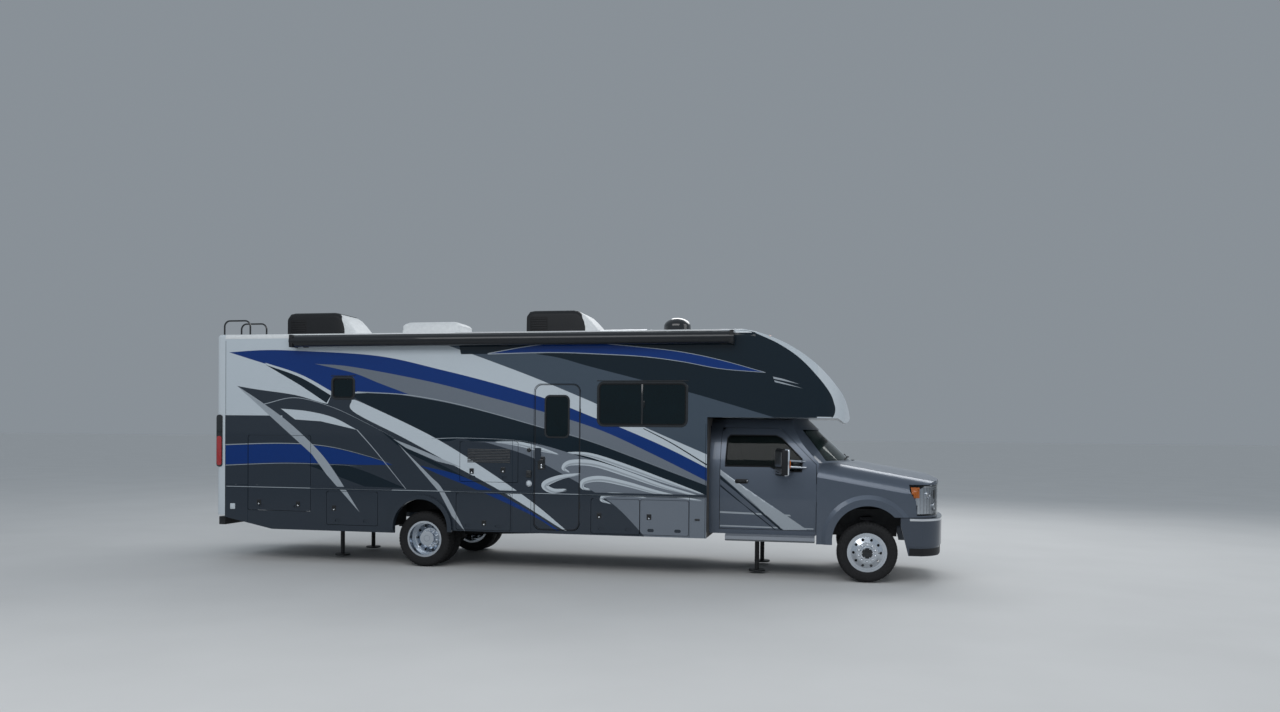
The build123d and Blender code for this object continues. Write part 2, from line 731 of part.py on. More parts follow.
def screen_plan(inset, z, rear_x):
    """Plan outline at height z with the windscreen's curved front edge."""
    side_x = screen_side - inset
    centre_x = screen_centre - inset
    with BuildSketch(Plane.XY.offset(z)) as plan:
        with BuildLine():
            Line((rear_x, -1200), (side_x - 180, -1200))
            Line((side_x - 180, -1200), (side_x, -900))
            ThreePointArc((side_x, -900), (centre_x, 0), (side_x, 900))
            Line((side_x, 900), (side_x - 180, 1200))
            Line((side_x - 180, 1200), (rear_x, 1200))
            Line((rear_x, 1200), (rear_x, -1200))
        make_face()
    return plan.sketch


def cab_form(inset):
    """Cab solid. Inset pulls every face inwards and leaves the back open to the coach."""
    back = cab_rear - (1 if inset else 0)
    cowl_z = 1450
    rise = cab_top_z + 10 - screen_base_z
    with BuildPart() as limits:
        add(block(back, door_front, -1200, 1200, sill_z - 10, screen_base_z))
        add(block(door_front - 10, firewall - inset, inset - footwell_half, footwell_half - inset,
                  sill_z - 10, cowl_z + 50))
        low_plan = screen_plan(inset, cowl_z + inset / 2, cab_rear - 100)
        extrude(low_plan, amount=screen_base_z - cowl_z - inset / 2, dir=upward)
        high_plan = screen_plan(inset * 1.4, screen_base_z, cab_rear - 100)
        extrude(high_plan, amount=rise * (1 + screen_rake ** 2) ** 0.5, dir=(-screen_rake, 0, 1))
    with BuildPart() as form:
        extrude(cab_end_outline(inset, back), amount=axle_f - back, dir=forward)
        add(limits.part, mode=Mode.INTERSECT)
    return form.part


cab_outer = cab_form(0)
cab_inner = cab_form(cab_skin)
cab_door_thick = 90
cab_door_inset = cab_door_thick + 25
door_inner = cab_form(cab_door_thick)

door_outline = [
    (door_rear, door_bottom_z),
    (door_front, door_bottom_z),
    (door_front, 1560),
    (axle_f - 1118, 2000),
    (axle_f - 1190, 2050),
    (door_rear + 60, 2050),
    (door_rear, 1990),
]
# The top of the rear edge leans inboard of the hinge and so swings back: the opening's corner is fuller
opening_outline = door_outline[:5] + [(door_rear + 32, 2050), (door_rear, 2018)]
window_outline = [
    (door_rear + 75, belt_z + 32),
    (axle_f - 1300, belt_z + 32),
    (axle_f - 1170, belt_z - 30),
    (axle_f - 880, belt_z - 30),
    (axle_f - 880, 1635),
    (axle_f - 1150, 1905),
    (axle_f - 1230, 1945),
    (door_rear + 130, 1945),
    (door_rear + 95, 1910),
]


def side_cutter(outline, amount, side):
    """Solid over one side of the cab from an outline grown by amount."""
    with BuildPart() as cutter:
        with BuildSketch(side_plane(side * 620)):
            with BuildLine():
                Polyline(*outline, close=True)
            make_face()
            if amount:
                offset(amount=amount, kind=Kind.INTERSECTION)
        extrude(amount=-side * 700)
    return cutter.part


knuckle_x = door_front + knuckle_offset


def door_swing(side, grow):
    """Upright cylinder about a cab door's hinge, which its rear edge and the opening's follow."""
    with BuildPart() as swing:
        with Locations((knuckle_x, side * cab_half, (sill_z + cab_top_z) / 2)):
            Cylinder(knuckle_x - door_rear + grow, cab_top_z - sill_z)
    return swing.part


def hood_z(x):
    """Height of the hood's centre line."""
    return hood_rear_z - hood_drop * (x - (axle_f - 300))


hood_pivot_x = axle_f - 440
hood_pivot_z = hood_z(hood_pivot_x) - 66 - front_skin - 7
hood_pin_r = 6
hood_pin_y = 771


def front_band(outline):
    """Solid carried along X through the windscreen from an outline of (y, z)."""
    return prism_x(outline, axle_f - 1290, axle_f)


screen_outline = [(-835, 1612), (835, 1612), (690, 2035), (-690, 2035)]
with BuildPart() as cab_shell:
    add(cab_outer)
    add(cab_inner, mode=Mode.SUBTRACT)
    add(block(cab_rear - 5, firewall + 5, -footwell_half + 5, footwell_half - 5, sill_z - 20, cab_floor_z),
        mode=Mode.SUBTRACT)
    for side in (-1, 1):
        add(side_cutter(opening_outline, door_gap, side) & door_swing(side, door_gap), mode=Mode.SUBTRACT)
    add(front_band(screen_outline), mode=Mode.SUBTRACT)
    add(block(cab_rear, door_front, -905, 905, cab_floor_z, cab_floor_z + cab_floor_thick))
    add(block(door_front, firewall, 1 - footwell_half, footwell_half - 1, cab_floor_z,
              cab_floor_z + cab_floor_thick))
    for side in (-1, 1):
        y0, y1 = side * hood_pin_y - 16, side * hood_pin_y + 16
        rest_z = hood_pivot_z - hood_pin_r - seat_gap
        add(block(hood_pivot_x - 60, hood_pivot_x + 14, y0, y1, rest_z - 40, rest_z - 14))
        add(block(hood_pivot_x - 6, hood_pivot_x + 14, y0, y1, rest_z - 40, rest_z))
        add(block(front_rear, front_rear + 52, *sorted((side * 870, side * 985)), sill_z, 1290))
        add(block(front_rear - 4.5, front_rear + 1, *sorted((side * 980, side * cab_half)),
                  1155 + seat_gap, 1205 - seat_gap))
export(cab_shell, "cab_shell")

with BuildPart() as windscreen:
    add(cab_form(14))
    add(cab_form(20), mode=Mode.SUBTRACT)
    add(front_band(screen_outline), mode=Mode.INTERSECT)
export(windscreen, "windscreen")

mirror_turn = 25
mirror_wide = 280
mirror_deep = 110
mirror_high = 350
with BuildPart() as mirror_head:
    with BuildSketch(Plane.XY.offset(-mirror_high / 2)):
        RectangleRounded(mirror_deep, mirror_wide, 38)
    extrude(amount=mirror_high)
    rims = mirror_head.edges().group_by(Axis.Z)
    fillet(rims[0] + rims[-1], radius=22)
for side, word in ((-1, "right"), (1, "left")):
    with BuildPart() as cab_door:
        add(cab_outer)
        add(door_inner, mode=Mode.SUBTRACT)
        add(side_cutter(door_outline, 0, side), mode=Mode.INTERSECT)
        add(door_swing(side, 0), mode=Mode.INTERSECT)
        add(block(door_rear - 10, door_front + 10, cab_door_inset - cab_half, cab_half - cab_door_inset,
                  sill_z, sill_z + cab_door_thick + 1), mode=Mode.SUBTRACT)
        add(side_cutter(window_outline, 0, side), mode=Mode.SUBTRACT)
        with Locations((knuckle_x, side * cab_half, 1105), (knuckle_x, side * cab_half, 1255)):
            Cylinder(knuckle_r, 100)
        head = Location((axle_f - 1120, side * 1300, 1595), (0, 0, -side * mirror_turn))
        add(mirror_head.part.moved(head))
        for z in (1520, 1600):
            start = Vector(axle_f - 820, side * (1735 - z / 2), z)
            end = Vector(axle_f - 1090, side * 1260, z + 20)
            reach = end - start
            with BuildSketch(Plane(origin=start, z_dir=reach)):
                Circle(17)
            extrude(amount=reach.length)
    export(cab_door, f"{word}_cab_door")
    with BuildPart() as door_glass:
        add(cab_form(20))
        add(cab_form(26), mode=Mode.SUBTRACT)
        add(side_cutter(window_outline, -seat_gap, side), mode=Mode.INTERSECT)
    export(door_glass, f"{word}_door_glass")

# Front end: one crowned form crossed with a plan outline, then split into hood, wings,
# headlamps and grille
hood_half_rear = 800
hood_half_front = 735


def front_plan(inset, z):
    """Plan outline of the front end at height z, wrapped round its two corners."""
    half = cab_half - inset
    face = nose_face - inset
    with BuildSketch(Plane.XY.offset(z)) as plan:
        with BuildLine():
            Line((front_rear - 60, 0), (front_rear - 60, half))
            Line((front_rear - 60, half), (axle_f + 500, half))
            TangentArc((axle_f + 500, half), (face - 75, 700 - inset / 2), tangent=(1, 0))
            ThreePointArc((face - 75, 700 - inset / 2), (face, 0), (face - 75, -700 + inset / 2))
            TangentArc((axle_f + 500, -half), (face - 75, -700 + inset / 2), tangent=(1, 0))
            Line((axle_f + 500, -half), (front_rear - 60, -half))
            Line((front_rear - 60, -half), (front_rear - 60, 0))
        make_face()
    return plan.sketch


def front_form(inset):
    start = front_rear - (2 if inset else 0)
    top = hood_z(start) - inset
    half = cab_half - inset
    face = nose_face
    with BuildPart() as form:
        with BuildSketch(Plane.YZ.offset(start)):
            with BuildLine():
                ThreePointArc((0, top), (400, top - 14), (760, top - 66))
                ThreePointArc((760, top - 66), (925 - inset, top - 140), (half, top - 300))
                Line((half, top - 300), (half, top - 1700))
                Line((half, top - 1700), (0, top - 1700))
                mirror(about=Plane.YZ)
            make_face()
        slope = (1 + hood_drop ** 2) ** 0.5
        extrude(amount=(nose_face + 60 - start) * slope, dir=(1, 0, -hood_drop))
        extrude(front_plan(inset, 0), amount=2200, dir=upward, mode=Mode.INTERSECT)
        low = rear_skirt_z - (10 if inset else 0)
        with BuildSketch(side_plane(1300)):
            with BuildLine():
                Line((start, low), (face - inset, low))
                Line((face - inset, low), (face - inset, 1270))
                ThreePointArc((face - inset, 1270), (face - 22 - inset, 1355 - inset),
                              (face - 110 - inset, 1412 - inset))
                Line((face - 110 - inset, 1412 - inset), (axle_f + 700, 1495 - inset))
                Line((axle_f + 700, 1495 - inset), (axle_f + 500, 2300))
                Line((axle_f + 500, 2300), (start, 2300))
                Line((start, 2300), (start, low))
            make_face()
        extrude(amount=2600, mode=Mode.INTERSECT)
    return form.part


front_outer = front_form(0)
front_inner = front_form(front_skin)
hood_low_z = 1326
hood_cowl_gap = 28


def hood_plan(grow):
    rear = front_rear - 200
    return [
        (rear, -hood_half_rear - grow),
        (axle_f + 500, -hood_half_rear - grow + 30),
        (nose_face + 60, -hood_half_front - grow),
        (nose_face + 60, hood_half_front + grow),
        (axle_f + 500, hood_half_rear + grow - 30),
        (rear, hood_half_rear + grow),
    ]


with BuildPart() as hood:
    add(front_outer)
    add(front_inner, mode=Mode.SUBTRACT)
    add(prism_z(hood_plan(0), hood_low_z, 2200), mode=Mode.INTERSECT)
    extrude(screen_plan(-hood_cowl_gap, 0, cab_rear - 100), amount=2200, dir=upward, mode=Mode.SUBTRACT)
    for side in (-1, 1):
        with Locations(Location((hood_pivot_x, side * hood_pin_y, hood_pivot_z), (90, 0, 0))):
            Cylinder(hood_pin_r, 32)
        add(block(hood_pivot_x, hood_pivot_x + 20, side * hood_pin_y - 16, side * hood_pin_y + 16,
                  hood_pivot_z, hood_pivot_z + 18))
export(hood, "hood")

# Wings: what is left of the front skin outside the hood, with the swelling over the arch
lamp_low_z = 906
lamp_high_z = 1316
lamp_inner_y = 565
lamp_side = [
    (axle_f + 535, lamp_high_z),
    (nose_face + 100, lamp_high_z),
    (nose_face + 100, lamp_low_z),
    (axle_f + 640, lamp_low_z),
    (axle_f + 625, 1095),
    (axle_f + 545, 1225),
]
with BuildPart() as wings:
    for side in (-1, 1):
        add(front_outer)
        with BuildSketch(side_plane(side * (cab_half - 12))):
            with Locations((arch_front_x, arch_front_z)):
                Circle(arch_front_r + 168)
        extrude(amount=-side * 42, taper=62)
    add(front_inner, mode=Mode.SUBTRACT)
    add(prism_z(hood_plan(door_gap), hood_low_z - door_gap, 2200), mode=Mode.SUBTRACT)
    extrude(screen_plan(0, 0, cab_rear - 100), amount=2200, dir=upward, mode=Mode.SUBTRACT)
    with BuildSketch(side_plane(1300)):
        with Locations((arch_front_x, arch_front_z)):
            Circle(arch_front_r)
        with Locations((arch_front_x, arch_front_z - 300)):
            Rectangle(2 * arch_front_r, 600)
    extrude(amount=2600, mode=Mode.SUBTRACT)
    add(block(arch_front_x, nose_face + 100, -1300, 1300, 300, bumper_top_z + door_gap), mode=Mode.SUBTRACT)
    add(prism_y(lamp_side, -1300, -lamp_inner_y), mode=Mode.SUBTRACT)
    add(prism_y(lamp_side, lamp_inner_y, 1300), mode=Mode.SUBTRACT)
    add(block(axle_f + 700, nose_face + 100, -lamp_inner_y, lamp_inner_y, 300, hood_low_z - door_gap),
        mode=Mode.SUBTRACT)
    add(block(front_rear - 100, nose_face + 100, -1300, 1300, -100, rear_skirt_z), mode=Mode.SUBTRACT)
    add(block(front_rear - 300, front_rear, -1300, 1300, 0, 2200), mode=Mode.SUBTRACT)
export(wings, "wings")

lamp_deep = 90
lamp_body = front_form(lamp_deep)
with BuildPart() as headlamps:
    add(front_form(3))
    add(lamp_body, mode=Mode.SUBTRACT)
    with BuildPart(mode=Mode.PRIVATE) as lamp_zone:
        add(prism_y(lamp_side, -1300, -lamp_inner_y))
        add(prism_y(lamp_side, lamp_inner_y, 1300))
    add(lamp_zone.part, mode=Mode.INTERSECT)
export(headlamps, "headlamps")

# Grille: a frame in the gap between the lamps with level bars across it
grille_deep = 60
grille_bar_count = 5
grille_bar_high = 34
grille_low_z = bumper_top_z + 4
grille_high_z = hood_low_z - door_gap
with BuildPart() as grille_skin:
    add(front_form(4))
    add(front_form(grille_deep), mode=Mode.SUBTRACT)
    add(block(axle_f + 800, nose_face + 100, -lamp_inner_y, lamp_inner_y, grille_low_z, grille_high_z),
        mode=Mode.INTERSECT)
with BuildPart() as grille:
    add(grille_skin.part)
    pitch = (grille_high_z - grille_low_z - 60) / grille_bar_count
    with BuildPart(mode=Mode.PRIVATE) as slots:
        for row in range(grille_bar_count):
            low = grille_low_z + 30 + row * pitch + grille_bar_high / 2
            for y0, y1 in ((-lamp_inner_y + 40, -25), (25, lamp_inner_y - 40)):
                add(block(axle_f + 700, nose_face + 100, y0, y1, low, low + pitch - grille_bar_high))
    add(slots.part, mode=Mode.SUBTRACT)
export(grille, "grille")

# Front bumper: a wrapped shell with its brackets to the rails
bumper_out = front_overhang - 985
bumper_skin = 14
bumper_ends = axle_f + 430
valance_top_z = 500
valance_inset = 16
bumper_end_lean = 105


def bumper_form(inset, z0, z1):
    with BuildPart() as form:
        extrude(front_plan(inset - bumper_out, z0), amount=z1 - z0, dir=upward)
        add(block(bumper_ends, bumper_face + 50, -cab_half - 6 + inset, cab_half + 6 - inset, z0, z1),
            mode=Mode.INTERSECT)
    return form.part


with BuildPart() as front_bumper:
    add(bumper_form(0, valance_top_z, bumper_top_z))
    add(bumper_form(valance_inset, bumper_bottom_z, valance_top_z))
    add(bumper_form(bumper_skin + valance_inset, bumper_bottom_z - 5, valance_top_z), mode=Mode.SUBTRACT)
    add(bumper_form(bumper_skin + valance_inset, valance_top_z, bumper_top_z - bumper_skin),
        mode=Mode.SUBTRACT)
    end_cut = [(bumper_ends - 10, bumper_top_z - 60), (bumper_ends + bumper_end_lean, bumper_bottom_z - 5),
               (bumper_ends - 10, bumper_bottom_z - 5)]
    add(prism_y(end_cut, -1300, 1300), mode=Mode.SUBTRACT)
    add(block(bumper_ends - 5, bumper_face - 150, -840, 840, bumper_bottom_z - 5, bumper_top_z + 5),
        mode=Mode.SUBTRACT)
    for side in (-1, 1):
        bracket_y = side * (rail_half - 40)
        add(block(rail_front, bumper_face - 30, bracket_y - 38, bracket_y + 38,
                  rail_top_z - rail_high, bumper_top_z - bumper_skin + 2))
    with BuildSketch(Plane.YZ.offset(axle_f + 900)):
        with Locations((0, 560)):
            RectangleRounded(900, 150, 30)
    extrude(amount=400, mode=Mode.SUBTRACT)
export(front_bumper, "front_bumper")

# Running boards under the cab doors
board_rear = axle_f - 1900
board_front = axle_f - 690
with BuildPart() as running_boards:
    for side in (-1, 1):
        with BuildSketch(Plane.YZ.offset(board_rear)):
            with BuildLine():
                Polyline((side * 870, sill_z), (side * 1000, sill_z), (side * 1052, 575), (side * 1060, 530),
                         (side * 1030, 505), (side * 870, 505), close=True)
            make_face()
        extrude(amount=board_front - board_rear)
export(running_boards, "running_boards")

# Dashboard, seats and steering wheel
dash_rear = axle_f - 980
dash_half = 815
wheel_lean = 28
steer_centre = Vector(axle_f - 1130, 480, 1400)
steer_axis = Vector(-cos(radians(wheel_lean)), 0, sin(radians(wheel_lean)))
steer_plane = Plane(origin=steer_centre, x_dir=(0, 1, 0), z_dir=steer_axis)
steer_r = 190
shaft_reach = 114
with BuildPart() as dashboard:
    add(prism_y([(dash_rear, 1180), (firewall - 60, 1050), (firewall - 60, 1440), (firewall - 120, 1470),
                 (dash_rear + 60, 1440), (dash_rear, 1380)], -dash_half, dash_half))
    add(block(axle_f - 1500, dash_rear, -150, 150, cab_floor_z + cab_floor_thick, 1240))
    add(block(dash_rear - 5, firewall - 60, -150, 150, cab_floor_z + cab_floor_thick, 1240))
    with BuildSketch(steer_plane.offset(-shaft_reach - seat_gap)):
        Circle(34)
    extrude(amount=-90)
export(dashboard, "dashboard")

with BuildPart() as seats:
    for side in (-1, 1):
        y = side * 480
        low = cab_floor_z + cab_floor_thick
        add(block(axle_f - 1800, axle_f - 1350, y - 200, y + 200, low, low + 190))
        add(block(axle_f - 1850, axle_f - 1300, y - 260, y + 260, low + 190, low + 330))
        add(prism_y([(axle_f - 1850, low + 250), (axle_f - 1720, low + 250), (axle_f - 1880, low + 960),
                     (axle_f - 1990, low + 960)], y - 250, y + 250))
        add(prism_y([(axle_f - 1975, low + 960), (axle_f - 1895, low + 960), (axle_f - 1915, low + 1100),
                     (axle_f - 1995, low + 1100)], y - 130, y + 130))
export(seats, "seats")

with BuildPart() as steering_wheel:
    with BuildSketch(Plane(origin=steer_centre, x_dir=(0, 1, 0), z_dir=steer_plane.y_dir)):
        with Locations((steer_r, 0)):
            Circle(16)
    revolve(axis=Axis(steer_centre, steer_axis))
    with BuildSketch(steer_plane.offset(-25)):
        Circle(62)
        Rectangle(2 * steer_r - 10, 34)
        with Locations((0, -steer_r / 2 + 10)):
            Rectangle(30, steer_r - 20)
    extrude(amount=28)
    with BuildSketch(steer_plane.offset(-24)):
        Circle(24)
    extrude(amount=24 - shaft_reach)
export(steering_wheel, "steering_wheel")

# Sliding legs of the levelling jacks
for name, x, side in jacks:
    with BuildPart() as leg:
        with Locations((x, side * jack_y, (jack_foot_z + jack_leg_top) / 2)):
            Cylinder(jack_bore_r, jack_leg_top - jack_foot_z)
        with Locations((x, side * jack_y, jack_foot_z + jack_foot_thick / 2)):
            Cylinder(jack_foot_r, jack_foot_thick)
    export(leg, name)

# Tanks and exhaust under the floor
with BuildPart() as tanks:
    add(block(axle_f - 4300, axle_f - 3200, rail_flange - rail_half, rail_half - rail_flange,
              700, rail_top_z - 10))
    add(block(axle_r - 2500, axle_r - 1750, rail_flange - rail_half, rail_half - rail_flange,
              700, rail_top_z - 10))
    add(block(axle_r + 800, axle_r + 1250, rail_half + 40, inner_half - 20, 640, floor_under_z))
export(tanks, "tanks")

pipe_r = 45
pipe_y = -330
pipe_z = 600
silencer_r = 110
# Columns: rear x, front x, radius
hangers = (axle_f - 2900, axle_f - 2300, axle_f - 1700)
pipes = [
    (axle_f - 2200, axle_f - 1600, pipe_r),
    (axle_f - 3000, axle_f - 2200, silencer_r),
]
with BuildPart() as exhaust:
    for x0, x1, radius in pipes:
        with Locations(Location(((x0 + x1) / 2, pipe_y, pipe_z), (0, 90, 0))):
            Cylinder(radius, x1 - x0)
    for x in hangers:
        add(block(x - 20, x + 20, -370, -355, pipe_z, rail_top_z - rail_high))
export(exhaust, "exhaust")

# Slide-out room: an open-backed box with a flange over the wall opening
slide_skin = 40
with BuildPart() as slide_room:
    outer_y = coach_half
    add(block(slide_rear, slide_front, outer_y - slide_deep, outer_y, slide_low_z, slide_high_z))
    add(block(slide_rear + slide_skin, slide_front - slide_skin,
              outer_y - slide_deep - 5, outer_y - slide_skin,
              slide_low_z + slide_skin, slide_high_z - slide_skin), mode=Mode.SUBTRACT)
    add(block(slide_rear - slide_flange, slide_front + slide_flange, outer_y + seat_gap,
              outer_y + seat_gap + slide_flange_thick, flange_low_z, slide_high_z + slide_flange))
    add(block(slide_rear, slide_front, outer_y - 1, outer_y + seat_gap + 1, slide_low_z, slide_high_z))
    with BuildSketch(side_plane(outer_y + seat_gap + slide_flange_thick)):
        with Locations(((slide_rear + slide_front) / 2, 2334)):
            RectangleRounded(slide_front - slide_rear - 900, 532, 60)
    extrude(amount=10, mode=Mode.SUBTRACT)
export(slide_room, "slide_room")

# Awning: a boxed roll along the right side, on a rail that is fixed to the wall
awning_rear = axle_r - 1992
awning_front = axle_f - 1770
awning_z = 3255
with BuildPart() as awning:
    roll_y = -coach_half - 108
    with Locations(Location(((awning_rear + awning_front) / 2, roll_y, awning_z), (0, 90, 0))):
        Cylinder(82, awning_front - awning_rear)
    add(block(awning_rear + 30, awning_front - 30, -coach_half - 60, -coach_half,
              awning_z - 20, awning_z + 45))
    for x in (awning_rear, awning_front - 40):
        add(block(x, x + 40, roll_y - 70, -coach_half, awning_z - 90, awning_z + 92))
export(awning, "awning")

# Roof air conditioners. Columns: rear x, front x of the flat top, front foot x, top z
ac_half = 350
units = [
    (axle_r - 2742, axle_r - 1842, axle_r - 1512, 3810),
    (axle_f - 5030, axle_f - 4340, axle_f - 3870, 3790),
]
with BuildPart() as air_conditioners:
    for x0, x1, x2, top in units:
        add(prism_y([(x0, roof_crown_z), (x0 + 20, top - 30), (x0 + 60, top), (x1, top),
                     (x2, roof_crown_z + 90), (x2 + 20, roof_crown_z)], -ac_half, ac_half))

dome_x = axle_f - 2760
with BuildPart() as roof_items:
    add(prism_y([(axle_r - 802, roof_crown_z), (axle_r - 770, 3610), (axle_r - 720, 3650),
                 (axle_r + 90, 3650), (axle_r + 140, 3610), (axle_r + 178, roof_crown_z)], -300, 300))
    with Locations((dome_x, 0, (roof_crown_z + 3560) / 2)):
        Cylinder(205, 3560 - roof_crown_z)
    with Locations((dome_x, 0, 3560)):
        Sphere(205, arc_size1=0)
    add(block(axle_f - 3840, axle_f - 3120, -500, 500, roof_crown_z, 3470))
    add(air_conditioners.part)
export(roof_items, "roof_units")

# Ladder on the right half of the rear cap, with hoops over the roof's edge
tube_r = 13
ladder_x = rear_face - ladder_reach + tube_r
ladder_low_z = 950
ladder_top_z = 3620
hoop_front = rear_face + 340
rail_ys = (-950, -520)


def roof_z(y):
    """Height of the crowned roof at distance y from the middle."""
    return roof_crown_z - (roof_crown_z - roof_edge_z) * (y / (coach_half - roof_corner_r)) ** 2


with BuildPart() as ladder:
    for y in rail_ys:
        corner = 90
        with BuildLine() as rail_line:
            FilletPolyline((rear_face, y, ladder_low_z), (ladder_x, y, ladder_low_z),
                           (ladder_x, y, ladder_top_z), (hoop_front, y, ladder_top_z),
                           (hoop_front, y, roof_z(abs(y) - tube_r) + seat_gap),
                           radius=[40, corner, corner])
        with BuildSketch(Plane(origin=(rear_face, y, ladder_low_z), x_dir=(0, 1, 0), z_dir=(-1, 0, 0))):
            Circle(tube_r)
        sweep(path=rail_line.line)
    for step in range(9):
        with Locations(Location((ladder_x, sum(rail_ys) / 2, 1050 + step * 280), (90, 0, 0))):
            Cylinder(tube_r, rail_ys[1] - rail_ys[0] + tube_r)
export(ladder, "ladder")

# Rear bumper with the hitch receiver
receiver_bore = 51
receiver_z = 481
receiver_half = 38
hitch_pin_r = 8
with BuildPart() as rear_bumper:
    add(block(rear_face - 40, rear_face + 60, -1150, 1150, 520, 640))
    for side in (-1, 1):
        y = side * (rail_half - 40)
        add(block(rear_face + 40, rail_rear, y - 40, y + 40, 520, rail_top_z - 20))
    add(block(rear_face - 60, rear_face + 240, -receiver_half, receiver_half, receiver_z - receiver_half,
              receiver_z + receiver_half + 2))
    add(block(rear_face - 65, rear_face + 190, -receiver_bore / 2, receiver_bore / 2,
              receiver_z - receiver_bore / 2, receiver_z + receiver_bore / 2), mode=Mode.SUBTRACT)
    with Locations(Location((rear_face + 20, 0, receiver_z), (90, 0, 0))):
        Cylinder(hitch_pin_r, 3 * receiver_half, mode=Mode.SUBTRACT)
export(rear_bumper, "rear_bumper")

with BuildPart() as tail_lamps:
    for side in (-1, 1):
        add(block(rear_face - 16, rear_face, side * 1090 - 55, side * 1090 + 55, 900, 1340))
    for y in (-1000, -250, 0, 250, 1000):
        add(block(rear_face - 12, rear_face, y - 50, y + 50, 3250, 3285))
export(tail_lamps, "tail_lamps")
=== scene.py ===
# %% [markdown]
# # A motorhome, dressed around its fixed frame
# The metal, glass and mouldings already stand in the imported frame, at their real size and on the
# bodies that move them. This lesson gives every surface its finish and adds the thin and small
# things that a workshop fits last: film stripes, rubber, lamps, latches and cushions. All lengths
# are metres. X points forward, Y to the driver's side and Z up.

# %% Load the frame
import math

import bmesh
import bpy
import numpy as np
from mathutils import Matrix, Vector
from mathutils.bvhtree import BVHTree
from mathutils.geometry import delaunay_2d_cdt


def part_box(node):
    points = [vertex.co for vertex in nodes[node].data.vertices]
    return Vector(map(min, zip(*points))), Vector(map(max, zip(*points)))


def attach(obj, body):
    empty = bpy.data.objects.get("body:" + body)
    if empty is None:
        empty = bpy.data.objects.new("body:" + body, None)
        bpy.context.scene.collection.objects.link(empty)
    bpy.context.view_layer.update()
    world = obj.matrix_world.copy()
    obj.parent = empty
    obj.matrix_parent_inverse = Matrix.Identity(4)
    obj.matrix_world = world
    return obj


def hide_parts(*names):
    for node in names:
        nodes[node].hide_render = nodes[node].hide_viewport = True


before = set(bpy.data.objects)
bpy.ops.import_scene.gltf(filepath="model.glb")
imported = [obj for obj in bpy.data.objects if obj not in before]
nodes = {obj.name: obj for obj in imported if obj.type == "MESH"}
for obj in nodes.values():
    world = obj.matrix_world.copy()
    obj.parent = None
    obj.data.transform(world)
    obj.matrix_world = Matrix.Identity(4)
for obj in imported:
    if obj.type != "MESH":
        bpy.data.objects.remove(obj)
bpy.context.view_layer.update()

# %% [markdown]
# ## The camera
# The photograph was taken from far off the passenger's side, a little behind the front wheels.
# A camera could be placed by eye, but one wrong metre shows in every wheel. So its place, its
# three directions and its lens are written as measured numbers, and the film is shifted down
# because the picture is a crop whose middle isn't the lens's own middle.

# %% Camera
eye = Vector((3.8585, -14.2064, 1.9705))
look = Vector((-0.19741, 0.98020, -0.01558))
right = Vector((0.98024, 0.19758, 0.01003))
up = Vector((-0.01291, 0.01329, 0.99983))
lens_mm, film_mm = 27.10, 36.0
crop_shift = 0.0717
farthest_view = 300.0


def placed(thing):
    """Link a new object to the scene."""
    bpy.context.scene.collection.objects.link(thing)
    return thing


camera_data = bpy.data.cameras.new("camera")
camera_data.lens = lens_mm
camera_data.sensor_width = film_mm
camera_data.sensor_fit = "HORIZONTAL"
camera_data.shift_y = crop_shift
camera_data.clip_end = farthest_view
camera = placed(bpy.data.objects.new("camera", camera_data))
directions = Matrix((right, up, -look)).transposed().to_4x4()
camera.matrix_world = Matrix.Translation(eye) @ directions
bpy.context.scene.camera = camera
print("camera", tuple(round(v, 2) for v in eye))

# %% [markdown]
# ## The floor
# The vehicle stands on a plain pale floor. A small floor would be enough for its shadow, but its
# edge would cross the view, so it runs far beyond what the camera sees.

# %% Floor
floor_half = 400.0
floor_mesh = bpy.data.meshes.new("floor")
floor_mesh.from_pydata([(x * floor_half, y * floor_half, 0)
                        for x, y in ((-1, -1), (1, -1), (1, 1), (-1, 1))], [], [(0, 1, 2, 3)])
floor = placed(bpy.data.objects.new("floor", floor_mesh))
print("floor", 2 * floor_half, "m wide")

# %% [markdown]
# ## The world
# A vehicle's paint is a mirror, so what stands round it matters as much as the lamps. A sky
# picture would fill the reflections, but then the colours would hang on that one picture. A cool
# even world does it plainly. The camera itself sees a grey behind the floor that is close to the
# floor's own far tone, so that no hard horizon crosses the view.

# %% World
world_light, world_strength = (0.78, 0.87, 0.96, 1), 0.50
seen_grey = (0.25, 0.28, 0.31, 1)
world = bpy.data.worlds.new("studio")
world.use_nodes = True
tree = world.node_tree
sky = tree.nodes["Background"]
sky.inputs["Color"].default_value = world_light
sky.inputs["Strength"].default_value = world_strength
seen = tree.nodes.new("ShaderNodeBackground")
seen.inputs["Color"].default_value = seen_grey
which_ray = tree.nodes.new("ShaderNodeLightPath")
choose = tree.nodes.new("ShaderNodeMixShader")
tree.links.new(which_ray.outputs["Is Camera Ray"], choose.inputs["Fac"])
tree.links.new(sky.outputs[0], choose.inputs[1])
tree.links.new(seen.outputs[0], choose.inputs[2])
tree.links.new(choose.outputs[0], tree.nodes["World Output"].inputs["Surface"])
bpy.context.scene.world = world
bpy.context.scene.view_settings.view_transform = "Standard"
print("world strength", world_strength)

# %% [markdown]
# ## The lamps
# Outdoors the light comes from the whole sky and one side of it is brighter. A sun lamp would
# copy that, but its shadows are hard. Three large soft lamps give long clean reflections in the
# paint and one soft shadow: one over the near side, one beyond the roof and one before the nose.

